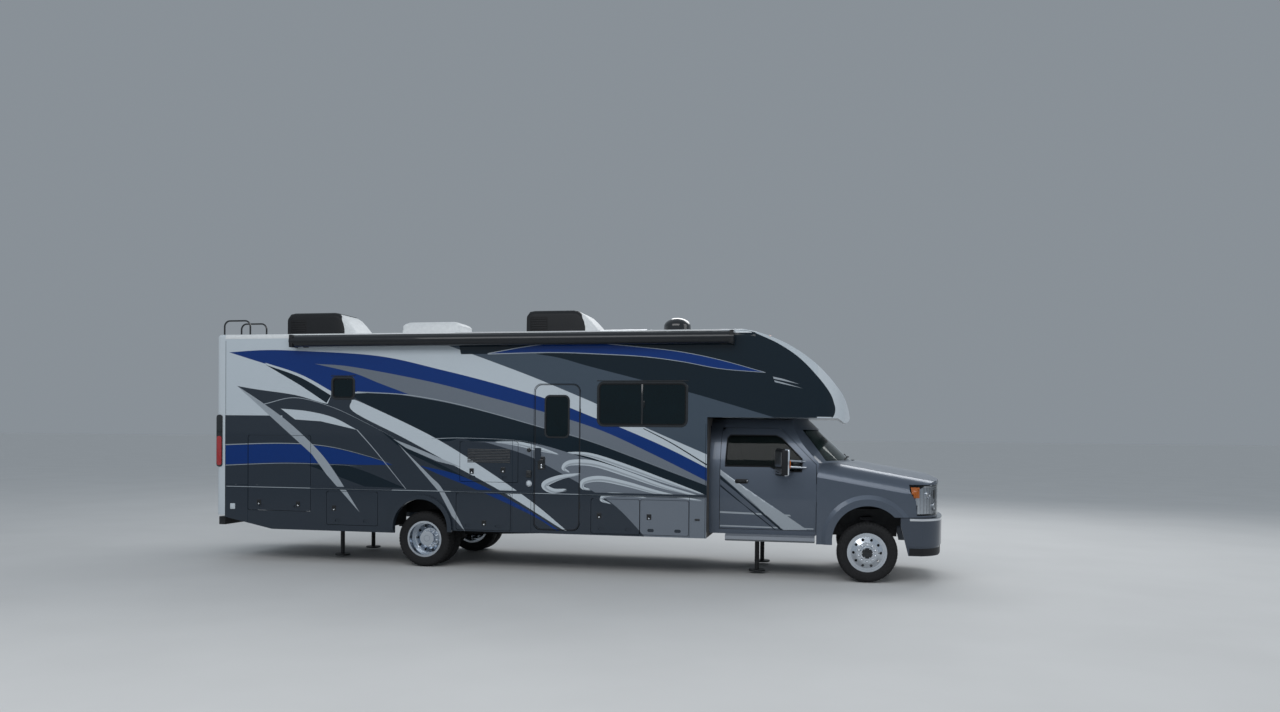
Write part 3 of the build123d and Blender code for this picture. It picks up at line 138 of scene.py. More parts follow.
# %% Lamps
def soft_lamp(name, place, aim, width, height, watts):
    data = bpy.data.lights.new(name, "AREA")
    data.shape = "RECTANGLE"
    data.size = width
    data.size_y = height
    data.energy = watts
    lamp = placed(bpy.data.objects.new(name, data))
    lamp.location = place
    lamp.rotation_euler = (Vector(aim) - Vector(place)).to_track_quat("-Z", "Y").to_euler()


soft_lamp("near_lamp", (0, -13, 10), (0, 0, 1.2), 16, 6, 850)
soft_lamp("far_lamp", (4, 10, 11), (0, 0, 1.5), 14, 6, 900)
soft_lamp("front_lamp", (19, -3, 10), (3, 0, 1.2), 9, 9, 420)

# %% [markdown]
# ## How a finish is built
# Every finish starts from one shader and a few pieces of noise measured in metres of the
# vehicle. The noise could be painted on as pictures, but pictures stretch round a curve and
# blur close up, while noise in the object's own space has the same grain everywhere.

# %% Tools for finishes
lacquer_rough = 0.03


def shader_of(made):
    return made.node_tree.nodes["Principled BSDF"]


def finish(name, colour, rough, metal=0.0, coat=0.0, specular=0.5):
    made = bpy.data.materials.new(name)
    made.use_nodes = True
    settings = {"Base Color": (*colour, 1), "Roughness": rough, "Metallic": metal,
                "Coat Weight": coat, "Coat Roughness": lacquer_rough, "Specular IOR Level": specular}
    for socket, value in settings.items():
        shader_of(made).inputs[socket].default_value = value
    return made


def grain(made, scale, detail):
    """Noise in the vehicle's own metres. Returns its value socket."""
    tree = made.node_tree
    place = tree.nodes.new("ShaderNodeTexCoord")
    texture = tree.nodes.new("ShaderNodeTexNoise")
    texture.inputs["Scale"].default_value = scale
    texture.inputs["Detail"].default_value = detail
    tree.links.new(place.outputs["Object"], texture.inputs["Vector"])
    return texture.outputs[0]


def vary_colour(made, value, dark, light, low=0.35, high=0.65):
    """Blend two colours by a noise value and drive the base colour with the result."""
    tree = made.node_tree
    ramp = tree.nodes.new("ShaderNodeValToRGB")
    for end, place, colour in zip(ramp.color_ramp.elements, (low, high), (dark, light)):
        end.position = place
        end.color = (*colour, 1)
    tree.links.new(value, ramp.inputs["Fac"])
    tree.links.new(ramp.outputs["Color"], shader_of(made).inputs["Base Color"])


def vary_rough(made, value, low, high):
    tree = made.node_tree
    spread = tree.nodes.new("ShaderNodeMapRange")
    spread.inputs["To Min"].default_value = low
    spread.inputs["To Max"].default_value = high
    tree.links.new(value, spread.inputs["Value"])
    tree.links.new(spread.outputs["Result"], shader_of(made).inputs["Roughness"])


def relief(made, value, strength, depth):
    tree = made.node_tree
    bump = tree.nodes.new("ShaderNodeBump")
    bump.inputs["Strength"].default_value = strength
    bump.inputs["Distance"].default_value = depth
    tree.links.new(value, bump.inputs["Height"])
    tree.links.new(bump.outputs["Normal"], shader_of(made).inputs["Normal"])


def shade(colour, factor):
    return tuple(min(1.0, c * factor) for c in colour)


print("finish tools ready")

# %% [markdown]
# ## Paint
# The coach is painted in full and then cleared, so white, slate, blue and black share one glassy
# top coat. Metallic colours get fine flakes that lighten and darken the colour, and all of them
# get the faint ripple of sprayed lacquer. The flakes could be tiny bumps, but at about a
# millimetre they are only seen as specks of tone, so they are noise in the colour.

# %% Paints
flakes_per_metre, ripples_per_metre = 900, 26
ripple_strength, ripple_depth = 0.05, 0.002
paint_specular = 0.12


def paint(name, colour, flake, rough, metal, coat=0.40):
    made = finish(name, colour, rough, metal, coat, paint_specular)
    flakes = grain(made, flakes_per_metre, 2)
    vary_colour(made, flakes, shade(colour, 1 - flake), shade(colour, 1 + flake))
    relief(made, grain(made, ripples_per_metre, 2), ripple_strength, ripple_depth)
    return made


# These colours carry painted shade: they are darker and bluer than the paint itself, as in cool
# shade, and charcoal and grey are darkened most, for the shade over the coach's lower side.
# Columns: colour, strength of the flakes, roughness, metal
paint_table = {
    "white": ((0.50, 0.555, 0.60), 0.04, 0.30, 0.0),
    "silver": ((0.36, 0.40, 0.44), 0.10, 0.32, 0.35),
    "grey": ((0.165, 0.190, 0.225), 0.12, 0.32, 0.35),
    "slate": ((0.062, 0.086, 0.115), 0.14, 0.30, 0.35),
    "charcoal": ((0.028, 0.038, 0.052), 0.16, 0.30, 0.3),
    "black": ((0.003, 0.011, 0.019), 0.10, 0.22, 0.0),
    "blue": ((0.003, 0.034, 0.185), 0.14, 0.26, 0.3),
}
paints = {name: paint("paint_" + name, *row) for name, row in paint_table.items()}
# The cab's colour carries painted shade too: it is bluer than the paint itself.
cab_paint = paint("cab_paint", (0.092, 0.112, 0.145), 0.16, 0.30, 0.45)
bumper_paint = paint("bumper_paint", (0.066, 0.080, 0.104), 0.16, 0.30, 0.5)
board_paint = paint("board_paint", (0.24, 0.26, 0.29), 0.12, 0.34, 0.5)
print("paints", len(paints) + 3)

# %% [markdown]
# ## Metals, plastics and rubber
# Each of these shows its making: cast iron is pitted, chrome is smooth, moulded plastic has a
# leathery grain, rubber is dull with a bloom of grey. One shared grunge could serve them all,
# but they differ in how rough they are and at what size their grain repeats, so each gets its
# own scale.

# %% Metals, plastics and rubber
def plain(name, colour, rough, metal, scale, spread, bump, depth, coat=0.0):
    """scale is in grains a metre, spread is the change of tone, and depth the bump's in metres."""
    made = finish(name, colour, rough, metal, coat)
    clouds = grain(made, scale * 0.3, 5)
    vary_colour(made, clouds, shade(colour, 1 - spread), shade(colour, 1 + spread))
    value = grain(made, scale, 4)
    relief(made, value, bump, depth)
    vary_rough(made, value, max(0.02, rough - 0.06), min(1.0, rough + 0.08))
    return made


# The gelcoat matches the white paint, so it carries the same painted shade: darker and bluer.
gelcoat = plain("gelcoat_white", (0.53, 0.58, 0.62), 0.30, 0, 5, 0.012, 0.012, 0.001, 0.4)
roof_skin = plain("roof_skin", (0.68, 0.70, 0.71), 0.55, 0, 60, 0.04, 0.2, 0.0008)
black_plastic = plain("black_plastic", (0.014, 0.015, 0.017), 0.48, 0, 420, 0.15, 0.35, 0.0006)
gloss_black = plain("gloss_black", (0.008, 0.010, 0.012), 0.16, 0, 30, 0.1, 0.03, 0.0005, 0.8)
chassis_steel = plain("chassis_steel", (0.016, 0.017, 0.019), 0.50, 0.2, 50, 0.3, 0.3, 0.001)
cast_iron = plain("cast_iron", (0.040, 0.040, 0.043), 0.62, 0.5, 160, 0.3, 0.5, 0.0012)
bright_steel = plain("bright_steel", (0.55, 0.56, 0.58), 0.30, 1.0, 90, 0.06, 0.08, 0.0004)
chrome = plain("chrome", (0.72, 0.75, 0.79), 0.07, 1.0, 20, 0.02, 0.02, 0.0003)
alloy = plain("polished_alloy", (0.56, 0.60, 0.65), 0.16, 1.0, 120, 0.03, 0.05, 0.0003)
rubber = plain("tyre_rubber", (0.017, 0.017, 0.018), 0.78, 0, 240, 0.25, 0.3, 0.0006)
seal_rubber = plain("seal_rubber", (0.010, 0.010, 0.011), 0.60, 0, 200, 0.2, 0.2, 0.0004)
floor_board = plain("floor_board", (0.075, 0.070, 0.066), 0.7, 0, 30, 0.2, 0.3, 0.001)
bay_liner = plain("bay_liner", (0.030, 0.031, 0.034), 0.75, 0, 300, 0.2, 0.5, 0.0008)
awning_vinyl = plain("awning_vinyl", (0.012, 0.014, 0.018), 0.38, 0, 500, 0.1, 0.2, 0.0003)
awning_metal = plain("awning_metal", (0.012, 0.014, 0.017), 0.30, 0.2, 60, 0.1, 0.05, 0.0004, 0.5)
seat_hide = plain("seat_hide", (0.030, 0.031, 0.034), 0.50, 0, 700, 0.2, 0.5, 0.0006)
red_lens = plain("red_lens", (0.34, 0.006, 0.008), 0.10, 0, 300, 0.08, 0.1, 0.0004, 1.0)
amber_lens = plain("amber_lens", (0.62, 0.15, 0.01), 0.12, 0, 300, 0.08, 0.1, 0.0004, 1.0)
solar_cell = plain("solar_cell", (0.008, 0.014, 0.035), 0.15, 0.1, 25, 0.2, 0.02, 0.0002, 1.0)
coach_glass = plain("coach_glass", (0.001, 0.007, 0.010), 0.05, 0, 8, 0.1, 0.01, 0.0005)
floor_finish = plain("studio_floor", (0.58, 0.58, 0.575), 0.8, 0, 2, 0.02, 0.05, 0.002)
floor.data.materials.append(floor_finish)
dark_specular = 0.22
for dark in (black_plastic, gloss_black, seal_rubber, rubber, awning_vinyl, awning_metal,
             coach_glass):
    shader_of(dark).inputs["Specular IOR Level"].default_value = dark_specular
print("finishes", len(bpy.data.materials))

# %% [markdown]
# ## Glass
# The coach's windows are so dark that they are mirrors, so they are a glossy near-black. Through
# the cab's glass one sees the seats. Real glass bends light, but a thin flat pane bends it too
# little to show, so these panes are a clear sheet whose gloss grows as one looks along it.

# %% Glass
edge_blend = 0.35


def glass(name, colour, see_through, least):
    """Pane that lets see_through pass. least is its gloss when looked at square on."""
    made = finish(name, colour, 0.02)
    tree = made.node_tree
    clear = tree.nodes.new("ShaderNodeBsdfTransparent")
    clear.inputs["Color"].default_value = (*see_through, 1)
    mix = tree.nodes.new("ShaderNodeMixShader")
    weight = tree.nodes.new("ShaderNodeLayerWeight")
    weight.inputs["Blend"].default_value = edge_blend
    gloss = tree.nodes.new("ShaderNodeMapRange")
    gloss.inputs["To Min"].default_value = least
    gloss.inputs["To Max"].default_value = 1.0
    tree.links.new(weight.outputs["Facing"], gloss.inputs["Value"])
    tree.links.new(gloss.outputs["Result"], mix.inputs["Fac"])
    tree.links.new(clear.outputs[0], mix.inputs[1])
    tree.links.new(shader_of(made).outputs[0], mix.inputs[2])
    tree.links.new(mix.outputs[0], tree.nodes["Material Output"].inputs["Surface"])
    return made


cab_glass = glass("cab_glass", (0.012, 0.020, 0.020), (0.16, 0.22, 0.21), 0.25)
screen_glass = glass("screen_glass", (0.02, 0.03, 0.03), (0.60, 0.70, 0.66), 0.08)
lamp_glass = glass("lamp_glass", (0.03, 0.035, 0.04), (0.94, 0.95, 0.96), 0.04)
print("clear glass", [pane.name for pane in (cab_glass, screen_glass, lamp_glass)])

# %% [markdown]
# ## Finishes for the fixed pieces
# Most pieces of the frame already have their true shape, so they only need the right finish in
# their material slots. Each could be dressed in a cell of its own, but one table shows at a
# glance which pieces are painted, cast, moulded or glazed.

# %% Assign the finishes
both = ((-1, "right"), (1, "left"))     # sign of Y and name of each side
fixed_finishes = {
    gelcoat: ["rear_cap", "nose_cap", "slide_room"],
    paints["charcoal"]: ["left_wall", "right_wall", "entry_door", "side_hatch", "tall_bay_door",
                         "rear_bay_door", "middle_bay_door", "step_bay_door", "front_bay_door",
                         "left_bay_door"],
    roof_skin: ["roof", "roof_units"],
    cab_paint: ["cab_shell", "left_cab_door", "right_cab_door", "hood", "wings"],
    chassis_steel: ["chassis_frame", "exhaust", "tanks", "rear_bumper", "left_front_jack_leg",
                    "right_front_jack_leg", "left_rear_jack_leg", "right_rear_jack_leg"],
    cast_iron: ["front_axle", "rear_axle", "left_knuckle", "right_knuckle", "tie_rod", "driveshaft",
                "engine_block"],
    gloss_black: ["ladder"],
    alloy: ["left_front_rim", "right_front_rim", "left_rear_rims", "right_rear_rims"],
    rubber: ["left_front_tyre", "right_front_tyre", "left_rear_tyres", "right_rear_tyres"],
    black_plastic: ["dashboard", "steering_wheel", "seats"],
    chrome: ["grille"],
    bumper_paint: ["front_bumper"],
    lamp_glass: ["headlamps"],
    screen_glass: ["windscreen"],
    cab_glass: ["left_door_glass", "right_door_glass"],
    coach_glass: ["coach_windows", "entry_door_glass"],
    floor_board: ["coach_floor"],
    bay_liner: ["luggage_bays"],
    awning_metal: ["awning"],
    red_lens: ["tail_lamps"],
    board_paint: ["running_boards"],
}
for coat, names in fixed_finishes.items():
    for name in names:
        for material_slot in nodes[name].material_slots:
            material_slot.material = coat
dressed = {name for names in fixed_finishes.values() for name in names}
print("nodes without a finish:", sorted(set(nodes) - dressed))

# %% [markdown]
# ## The stripes: drawing them
# On the real coach the stripes are masked and sprayed. Here each stripe is an outline in metres
# on the side wall, drawn from a few control points. Straight lines between many points would
# look cut with scissors. A smooth curve through few points runs as a masking tape does, and
# where two curves meet it keeps a sharp tip.

# %% Curves and bands
def smooth_line(points, steps=10):
    """Catmull-Rom curve through the points."""
    if len(points) < 3:
        return [tuple(p) for p in points]
    ends = [2 * Vector(points[0]) - Vector(points[1]), *map(Vector, points),
            2 * Vector(points[-1]) - Vector(points[-2])]
    line = []
    for a, b, c, d in zip(ends, ends[1:], ends[2:], ends[3:]):
        for i in range(steps):
            t = i / steps
            line.append(tuple(0.5 * ((2 * b) + (c - a) * t + (2 * a - 5 * b + 4 * c - d) * t ** 2
                                     + (3 * b - a - 3 * c + d) * t ** 3)))
    line.append(tuple(points[-1]))
    return line


def band(*edges):
    """Closed outline of several smooth edges, joined end to end with sharp corners."""
    outline = []
    for edge in edges:
        outline += smooth_line(edge)
    return outline


def both_edges(points, half_at):
    """Closed outline round a curve. half_at gives half its width at point i of the last one."""
    line = [Vector(p) for p in smooth_line(points)]
    last = len(line) - 1
    left, right = [], []
    for i, p in enumerate(line):
        along = line[min(i + 1, last)] - line[max(i - 1, 0)]
        across = Vector((-along.y, along.x)).normalized()
        left.append(tuple(p + across * half_at(i, last)))
        right.append(tuple(p - across * half_at(i, last)))
    return left + right[::-1]


def ribbon(points, width, tail=0.0):
    """Thin stripe along a curve, tapering from width at its start to tail at its end."""
    return both_edges(points, lambda i, last: 0.5 * (width + (tail - width) * i / last))


def leaf(points, width):
    """Stripe along a curve that swells in its middle and ends in two points."""
    return both_edges(points, lambda i, last: 0.5 * width * math.sin(math.pi * i / last) ** 0.7)


print("drawing tools ready")

# %% [markdown]
# ## The stripes: their outlines
# Each curve is named for the edge it draws, running from the back of the coach to the front.
# Every band could have an outline of its own, but then neighbours would have to match twice. So
# neighbouring bands share a curve, and no gap can open between them.

# %% Stripe edges, x and z
slate_edge = [(-1.75, 3.33), (-1.671, 3.236), (-0.945, 2.976), (-0.301, 2.742), (0.367, 2.475),
              (0.687, 2.34), (1.281, 2.063), (2.148, 1.699), (2.5, 1.55)]
blue_top = [(-5.021, 3.111), (-4.45, 3.14), (-3.828, 3.123), (-2.612, 3.042), (-1.635, 2.837),
            (-0.868, 2.651), (-0.118, 2.442), (0.23, 2.318), (0.655, 2.154), (0.959, 2.047),
            (1.589, 1.787), (2.15, 1.517), (2.5, 1.33)]
blue_low = [(-3.621, 2.934), (-3.013, 2.885), (-1.823, 2.672), (-0.867, 2.44), (-0.116, 2.247),
            (0.4, 2.1), (0.855, 1.94), (1.502, 1.65), (2.152, 1.341), (2.5, 1.17)]
lobe_low = [(-5.021, 3.111), (-4.449, 2.945), (-3.854, 2.779), (-3.35, 2.53)]
lobe_tip = [(-3.35, 2.53), (-2.9, 2.52), (-2.5, 2.505), (-2.137, 2.488)]
lobe_top = [(-2.137, 2.488), (-2.6, 2.65), (-3.012, 2.8), (-3.621, 2.934)]
grey_low = [(-3.05, 2.5), (-2.55, 2.51), (-2.186, 2.472), (-1.55, 2.37), (-0.86, 2.215),
            (-0.09, 2.01), (0.42, 1.88), (0.857, 1.74), (1.503, 1.506), (2.152, 1.274), (2.5, 1.15)]
dark_low = [(-1.163, 1.818), (-0.703, 1.823), (-0.174, 1.79), (0.423, 1.632), (1.231, 1.413),
            (2.154, 1.136), (2.5, 1.03)]
rear_dark_top = [(-4.887, 2.609), (-4.567, 2.559), (-3.936, 2.476), (-3.356, 2.346), (-3.05, 2.5)]
rear_dark_tip = [(-4.887, 2.609), (-4.439, 2.341), (-4.143, 2.12)]
diagonal_top = [(-3.03, 2.41), (-2.852, 2.36), (-1.817, 1.908), (-1.044, 1.477), (-0.286, 0.992),
                (0.232, 0.594)]
diagonal_low = [(0.232, 0.594), (0.12, 0.64), (-0.663, 1.089), (-1.428, 1.471), (-2.21, 1.861),
                (-2.993, 2.231), (-3.03, 2.41)]
wedge_right = [(-0.971, 1.815), (-0.398, 1.654), (-0.059, 1.497), (0.574, 1.169), (0.941, 0.94),
               (1.306, 0.577), (1.36, 0.48)]
crown_top = [(-0.95, 3.06), (-0.866, 3.081), (-0.186, 3.184), (0.555, 3.2), (1.28, 3.137),
             (1.823, 3.07), (2.35, 2.959), (2.95, 2.79)]
crown_low = [(2.95, 2.79), (2.35, 2.842), (1.823, 2.94), (1.299, 3.01), (0.739, 3.046),
             (0.002, 3.075), (-0.95, 3.06)]
cap_black_low = [(-0.254, 3.059), (0.109, 2.998), (0.511, 2.886), (1.246, 2.698), (1.911, 2.529),
                 (2.401, 2.39), (2.964, 2.224), (3.2, 2.15)]
# nose_rim bounds the white band at the nose's front edge, which is painted reflection: the glare of
# the low sun on the dark cap.
nose_rim = [(2.6, 3.42), (2.845, 3.303), (3.044, 3.213), (3.22, 3.112), (3.373, 3.002),
            (3.504, 2.881), (3.614, 2.76), (3.723, 2.629), (3.81, 2.498), (3.85, 2.39),
            (3.868, 2.303), (3.846, 2.215), (3.782, 2.171), (3.68, 2.148), (3.5, 2.1)]
print("longest stripe", round(blue_top[-1][0] - blue_top[0][0], 2), "m")

# %% [markdown]
# ## The stripes: their coats
# A sprayed coat covers what lies under it, so the order of the coats decides what one sees. They
# could be cut so that none overlaps another, but every edge would then be drawn twice. Laid in
# the sprayer's order, a coat only has to be right where it shows.

# %% Coats of paint, in the order they are sprayed
lower_edge = 0.4
coats = [
    ("slate", band(slate_edge, [(4.3, 1.55), (4.3, 3.45), (-1.75, 3.45)])),
    ("charcoal", band([(-5.3, 2.172), (-4.143, 2.172)], rear_dark_tip[-1:], rear_dark_tip[::-1],
                      rear_dark_top, grey_low, [(2.5, lower_edge), (-5.3, lower_edge)])),
    ("charcoal", [(-3.42, 2.33), (-3.352, 2.478), (-3.28, 2.518), (-3.02, 2.518), (-3.03, 2.4)]),
    ("blue", band(blue_top, blue_low[::-1], lobe_top[::-1], lobe_tip[::-1], lobe_low[::-1])),
    ("grey", band(blue_low, grey_low[::-1], [(-2.137, 2.488)], lobe_top)),
    ("black", band([(-0.866, 2.213), (-0.09, 2.01), (0.42, 1.88), (0.857, 1.74), (1.503, 1.506),
                    (2.152, 1.274), (2.5, 1.15)], dark_low[::-1],
                   [(-1.3, 1.87), (-1.786, 1.855), (-2.95, 2.42)], grey_low[:5])),
    ("black", band([(-4.421, 2.925), (-3.854, 2.735), (-3.356, 2.47)],
                   [(-3.43, 2.36), (-3.854, 2.62)])),
    ("white", band([(-4.421, 2.952), (-3.854, 2.779), (-3.349, 2.523)],
                   [(-3.348, 2.486), (-3.854, 2.742), (-4.421, 2.94)])),
    ("grey", band(dark_low, [(2.5, lower_edge), (1.36, lower_edge)], wedge_right[::-1])),
    ("white", band(diagonal_top, diagonal_low)),
    ("black", band([(-2.6, 1.98), (-2.1, 1.7), (-1.43, 1.39), (-0.663, 1.02), (-0.1, 0.74)],
                   [(-0.1, 0.74), (-0.75, 1.05), (-1.43, 1.34), (-2.2, 1.67)])),
    ("blue", band([(-1.98, 1.47), (-1.428, 1.36), (-0.9, 1.15), (-0.3, 0.85), (0.12, 0.6)],
                  [(0.087, 0.589), (-0.284, 0.8), (-1.041, 1.117), (-1.65, 1.34)])),
    ("silver", band([(-2.381, 1.848), (-1.982, 1.705), (-1.315, 1.45)],
                    [(-1.705, 1.535), (-2.181, 1.721)])),
    ("white", band([(-4.165, 2.274), (-3.727, 2.238), (-3.314, 2.147), (-2.945, 1.973)],
                   [(-3.519, 2.092), (-3.934, 2.116)])),
    ("blue", band([(-5.3, 1.712), (-4.142, 1.753), (-3.393, 1.713), (-2.7, 1.565), (-2.38, 1.47)],
                  [(-2.902, 1.463), (-3.31, 1.47), (-4.14, 1.478), (-5.3, 1.422)])),
    ("black", band([(-3.723, 1.445), (-3.064, 1.44), (-2.177, 1.139)], [(-2.819, 1.15)])),
    ("silver", ribbon([(-5.3, 1.722), (-4.142, 1.763), (-3.393, 1.723), (-2.7, 1.575),
                       (-2.37, 1.47)], 0.014)),
    ("silver", ribbon([(-5.3, 1.412), (-4.14, 1.468), (-3.31, 1.46), (-2.85, 1.44)], 0.01)),
    ("silver", band([(-4.887, 2.609), (-4.143, 2.15), (-3.6, 1.703), (-3.3, 1.36), (-2.898, 0.775)],
                    [(-3.42, 1.309), (-3.66, 1.607)])),
    ("silver", ribbon([(-4.439, 2.341), (-3.936, 2.436), (-3.356, 2.306), (-2.784, 2.065),
                       (-2.261, 1.81)], 0.012)),
    ("silver", ribbon([(-2.945, 1.973), (-2.66, 1.677), (-2.177, 1.128)], 0.014, 0.008)),
    ("silver", band([(-2.3, 1.775), (-1.822, 1.338), (-1.604, 1.121), (-1.269, 0.542)],
                    [(-1.47, 0.757), (-1.66, 1.09)])),
    ("silver", ribbon([(-2.95, 2.523), (-2.186, 2.482), (-1.516, 2.376), (-0.86, 2.222),
                       (-0.09, 2.018), (0.42, 1.888), (1.295, 1.59), (2.185, 1.268)], 0.014)),
    ("silver", ribbon([(-1.786, 1.855), (-1.318, 1.871), (-0.551, 1.85), (-0.099, 1.785)], 0.01)),
    ("black", ribbon([(1.3, 2.03), (1.7, 1.83), (2.181, 1.545), (2.45, 1.4)], 0.012, 0.02)),
    ("black", band([(-1.35, 3.06), (-0.95, 3.06)], crown_top,
                   [(4.3, 2.79), (4.3, 3.5), (-1.45, 3.5)])),
    ("blue", band(crown_top, crown_low)),
    ("black", band(cap_black_low[:1], crown_low[-2::-1],
                   [(2.95, 2.79), (3.2, 3.5), (4.3, 3.5), (4.3, 2.0)], [(3.2, 2.0)],
                   cap_black_low[::-1])),
    ("blue", band(crown_top[3:], crown_low[:4])),
    ("silver", ribbon(crown_top, 0.012, 0.006)),
    ("silver", ribbon(crown_low[::-1], 0.012, 0.006)),
    ("silver", [(3.05, 2.735), (3.18, 2.706), (3.4, 2.634), (3.17, 2.684), (3.06, 2.706)]),
    ("silver", [(3.068, 2.686), (3.2, 2.652), (3.443, 2.58), (3.19, 2.636), (3.076, 2.662)]),
    # White over the nose's front edge: painted reflection of the low sun on the dark cap.
    ("white", band(nose_rim, [(3.5, 2.0), (4.3, 2.0), (4.3, 3.6), (2.6, 3.6)])),
]
print("coats", len(coats))

# %% [markdown]
# ## The swirl below the window
# The grey field under the side window carries a flourish of curling pale lines. It could be
# traced leaf by leaf, but a scroll is one curve repeated. So a loop draws it: a fan of long
# leaves that part from one stem, each ending in its own hook.

# %% Scroll of leaves
# Columns: points of the leaf's middle line, width at its fattest
scroll = [
    ([(2.15, 1.145), (1.55, 1.335), (1.00, 1.520), (0.55, 1.655), (0.22, 1.690)], 0.075),
    ([(2.15, 1.105), (1.60, 1.235), (1.10, 1.395), (0.62, 1.535), (0.28, 1.545), (0.17, 1.470),
      (0.26, 1.415)], 0.085),
    ([(2.12, 1.060), (1.55, 1.150), (1.05, 1.270), (0.70, 1.330), (0.47, 1.290), (0.45, 1.205),
      (0.56, 1.180)], 0.080),
    ([(0.10, 1.660), (-0.20, 1.735), (-0.50, 1.800), (-0.85, 1.825)], 0.070),
    ([(0.42, 1.400), (0.10, 1.330), (-0.10, 1.230), (0.02, 1.150), (0.22, 1.175)], 0.090),
    ([(1.35, 1.085), (1.05, 1.115), (0.80, 1.110), (0.72, 1.040), (0.85, 0.990)], 0.055),
]
for points, width in scroll:
    coats.append(("white", leaf(points, width)))
    coats.append(("silver", leaf([(x + 0.012, z - 0.20 * width) for x, z in points], width * 0.30)))
print("scroll leaves", len(scroll))

# %% [markdown]
# ## Seams and the side moulding
# Narrow outside panels that never open are glued on, and only their dark joints show. A joint
# could be a real gap, but at a few millimetres it is a line of shadow, so it is drawn into the
# film. So is the slim moulding that runs along the side: a bright silver line, over a dark line
# that is painted shadow under it.

# %% Joint lines
joint_wide = 0.006
seam_top, seam_low, sill_low = 1.84, 0.50, 0.53
seams = [
    [(-5.0765, seam_low), (-5.0765, 3.28)], [(-4.7065, seam_low), (-4.7065, seam_top)],
    [(-5.0765, 1.140), (-4.7065, 1.140)], [(-0.5725, sill_low), (-0.5725, seam_top)],
    [(-0.2955, sill_low), (-0.2955, seam_top)], [(1.9475, sill_low), (1.9475, 1.100)],
    [(2.1605, sill_low), (2.1605, 2.10)],
]
for ends in seams:
    coats.append(("black", ribbon(ends, joint_wide, joint_wide)))
moulding_from, moulding_to, moulding_z = -5.06, 2.16, 1.108
# The black line just under the silver one is painted shadow beneath the moulding.
for coat, z, wide in (("black", moulding_z - 0.010, 0.008), ("silver", moulding_z, 0.010)):
    coats.append((coat, ribbon([(moulding_from, z), (moulding_to, z)], wide, wide)))
print("seams", len(seams), "and coats in all", len(coats))

# %% [markdown]
# ## Reading a panel's outline
# The film has to end exactly where its panel ends, also round a window or a hatch. Its outline
# could be measured and typed in once more, but then two drawings could drift apart. So it is
# read from the frame: the edges of the flat faces that only one triangle uses are the border.

# %% The border of a flat panel
flat_within = 0.0004
coach_half, slide_half = 1.283, 1.297


def panel_edges(node, y):
    """Border of the node's flat faces that lie on the plane at y, as pairs of (x, z)."""
    mesh = nodes[node].data
    mesh.calc_loop_triangles()
    count = {}
    for triangle in mesh.loop_triangles:
        corners = [mesh.vertices[i].co for i in triangle.vertices]
        if max(abs(c.y - y) for c in corners) > flat_within:
            continue
        keys = [(round(c.x, 4), round(c.z, 4)) for c in corners]
        for a, b in zip(keys, keys[1:] + keys[:1]):
            edge = (min(a, b), max(a, b))
            if a != b:
                count[edge] = count.get(edge, 0) + 1
    return [edge for edge, times in count.items() if times == 1]


def closed_edges(outline):
    return list(zip(outline, outline[1:] + outline[:1]))


def inside(points, edges):
    """Even-odd test of many points against a set of edges."""
    a = np.array([e[0] for e in edges])
    b = np.array([e[1] for e in edges])
    x, z = points[:, 0][:, None], points[:, 1][:, None]
    with np.errstate(divide="ignore", invalid="ignore"):
        crosses = (a[:, 1] > z) != (b[:, 1] > z)
        at = (b[:, 0] - a[:, 0]) * (z - a[:, 1]) / (b[:, 1] - a[:, 1]) + a[:, 0]
    return (crosses & (x < at)).sum(1) % 2 == 1


print("edges round the entry door", len(panel_edges("entry_door", -coach_half)))

# %% [markdown]
# ## Knitting the stripes into one sheet
# Film on the real coach would be cut with a knife along each stripe. Here the outline and all
# stripes are knitted into one flat net of triangles, and each small triangle takes the coat that
# is on top of it. A picture projected on the wall would be simpler, but its edges blur.

# %% Knit outline and stripes
def knit(edges, spacing=0.0, sheets=coats):
    """Triangles of an outline with all stripes cut in, and the coat of each."""
    flat = np.array([p for e in edges for p in e])
    low, high = flat.min(0), flat.max(0)
    over = [(coat, outline) for coat, outline in sheets
            if max(p[0] for p in outline) > low[0] and min(p[0] for p in outline) < high[0]
            and max(p[1] for p in outline) > low[1] and min(p[1] for p in outline) < high[1]]
    points, index, lines = [], {}, []

    def number(p):
        key = (round(p[0], 5), round(p[1], 5))
        if key not in index:
            index[key] = len(points)
            points.append(Vector(key))
        return index[key]

    for a, b in [*edges, *(e for _, outline in over for e in closed_edges(outline))]:
        i, j = number(a), number(b)
        if i != j:
            lines.append((i, j))
    if spacing:
        for x in np.arange(low[0], high[0], spacing):
            for z in np.arange(low[1], high[1], spacing):
                number((x, z))
    found, _, faces, *_ = delaunay_2d_cdt(points, lines, [], 0, 1e-6)
    middle = np.array([sum((found[i] for i in f), Vector((0, 0))) / 3 for f in faces])
    names = np.array(["white"] * len(faces), object)
    for coat, outline in over:
        names[inside(middle, closed_edges(outline))] = coat
    keep = inside(middle, edges)
    return found, [f for f, k in zip(faces, keep) if k], [n for n, k in zip(names, keep) if k]


def compact(spots, faces):
    """Only the points that the faces use, and the faces numbered anew."""
    used = sorted({i for f in faces for i in f})
    renumber = {old: new for new, old in enumerate(used)}
    return [spots[i] for i in used], [tuple(renumber[i] for i in f) for f in faces]


print("knitting tools ready")

# %% [markdown]
# ## Laying film on the flat panels
# A new piece is a mesh with its finishes, riding on a body of the frame. One sheet could cover
# the whole side, but it would tear when a hatch opens. So each panel gets its own sheet, cut at
# its hatches, and the sheet of a hatch rides with the hatch.

# %% New pieces and flat film
film_gap = 0.0009


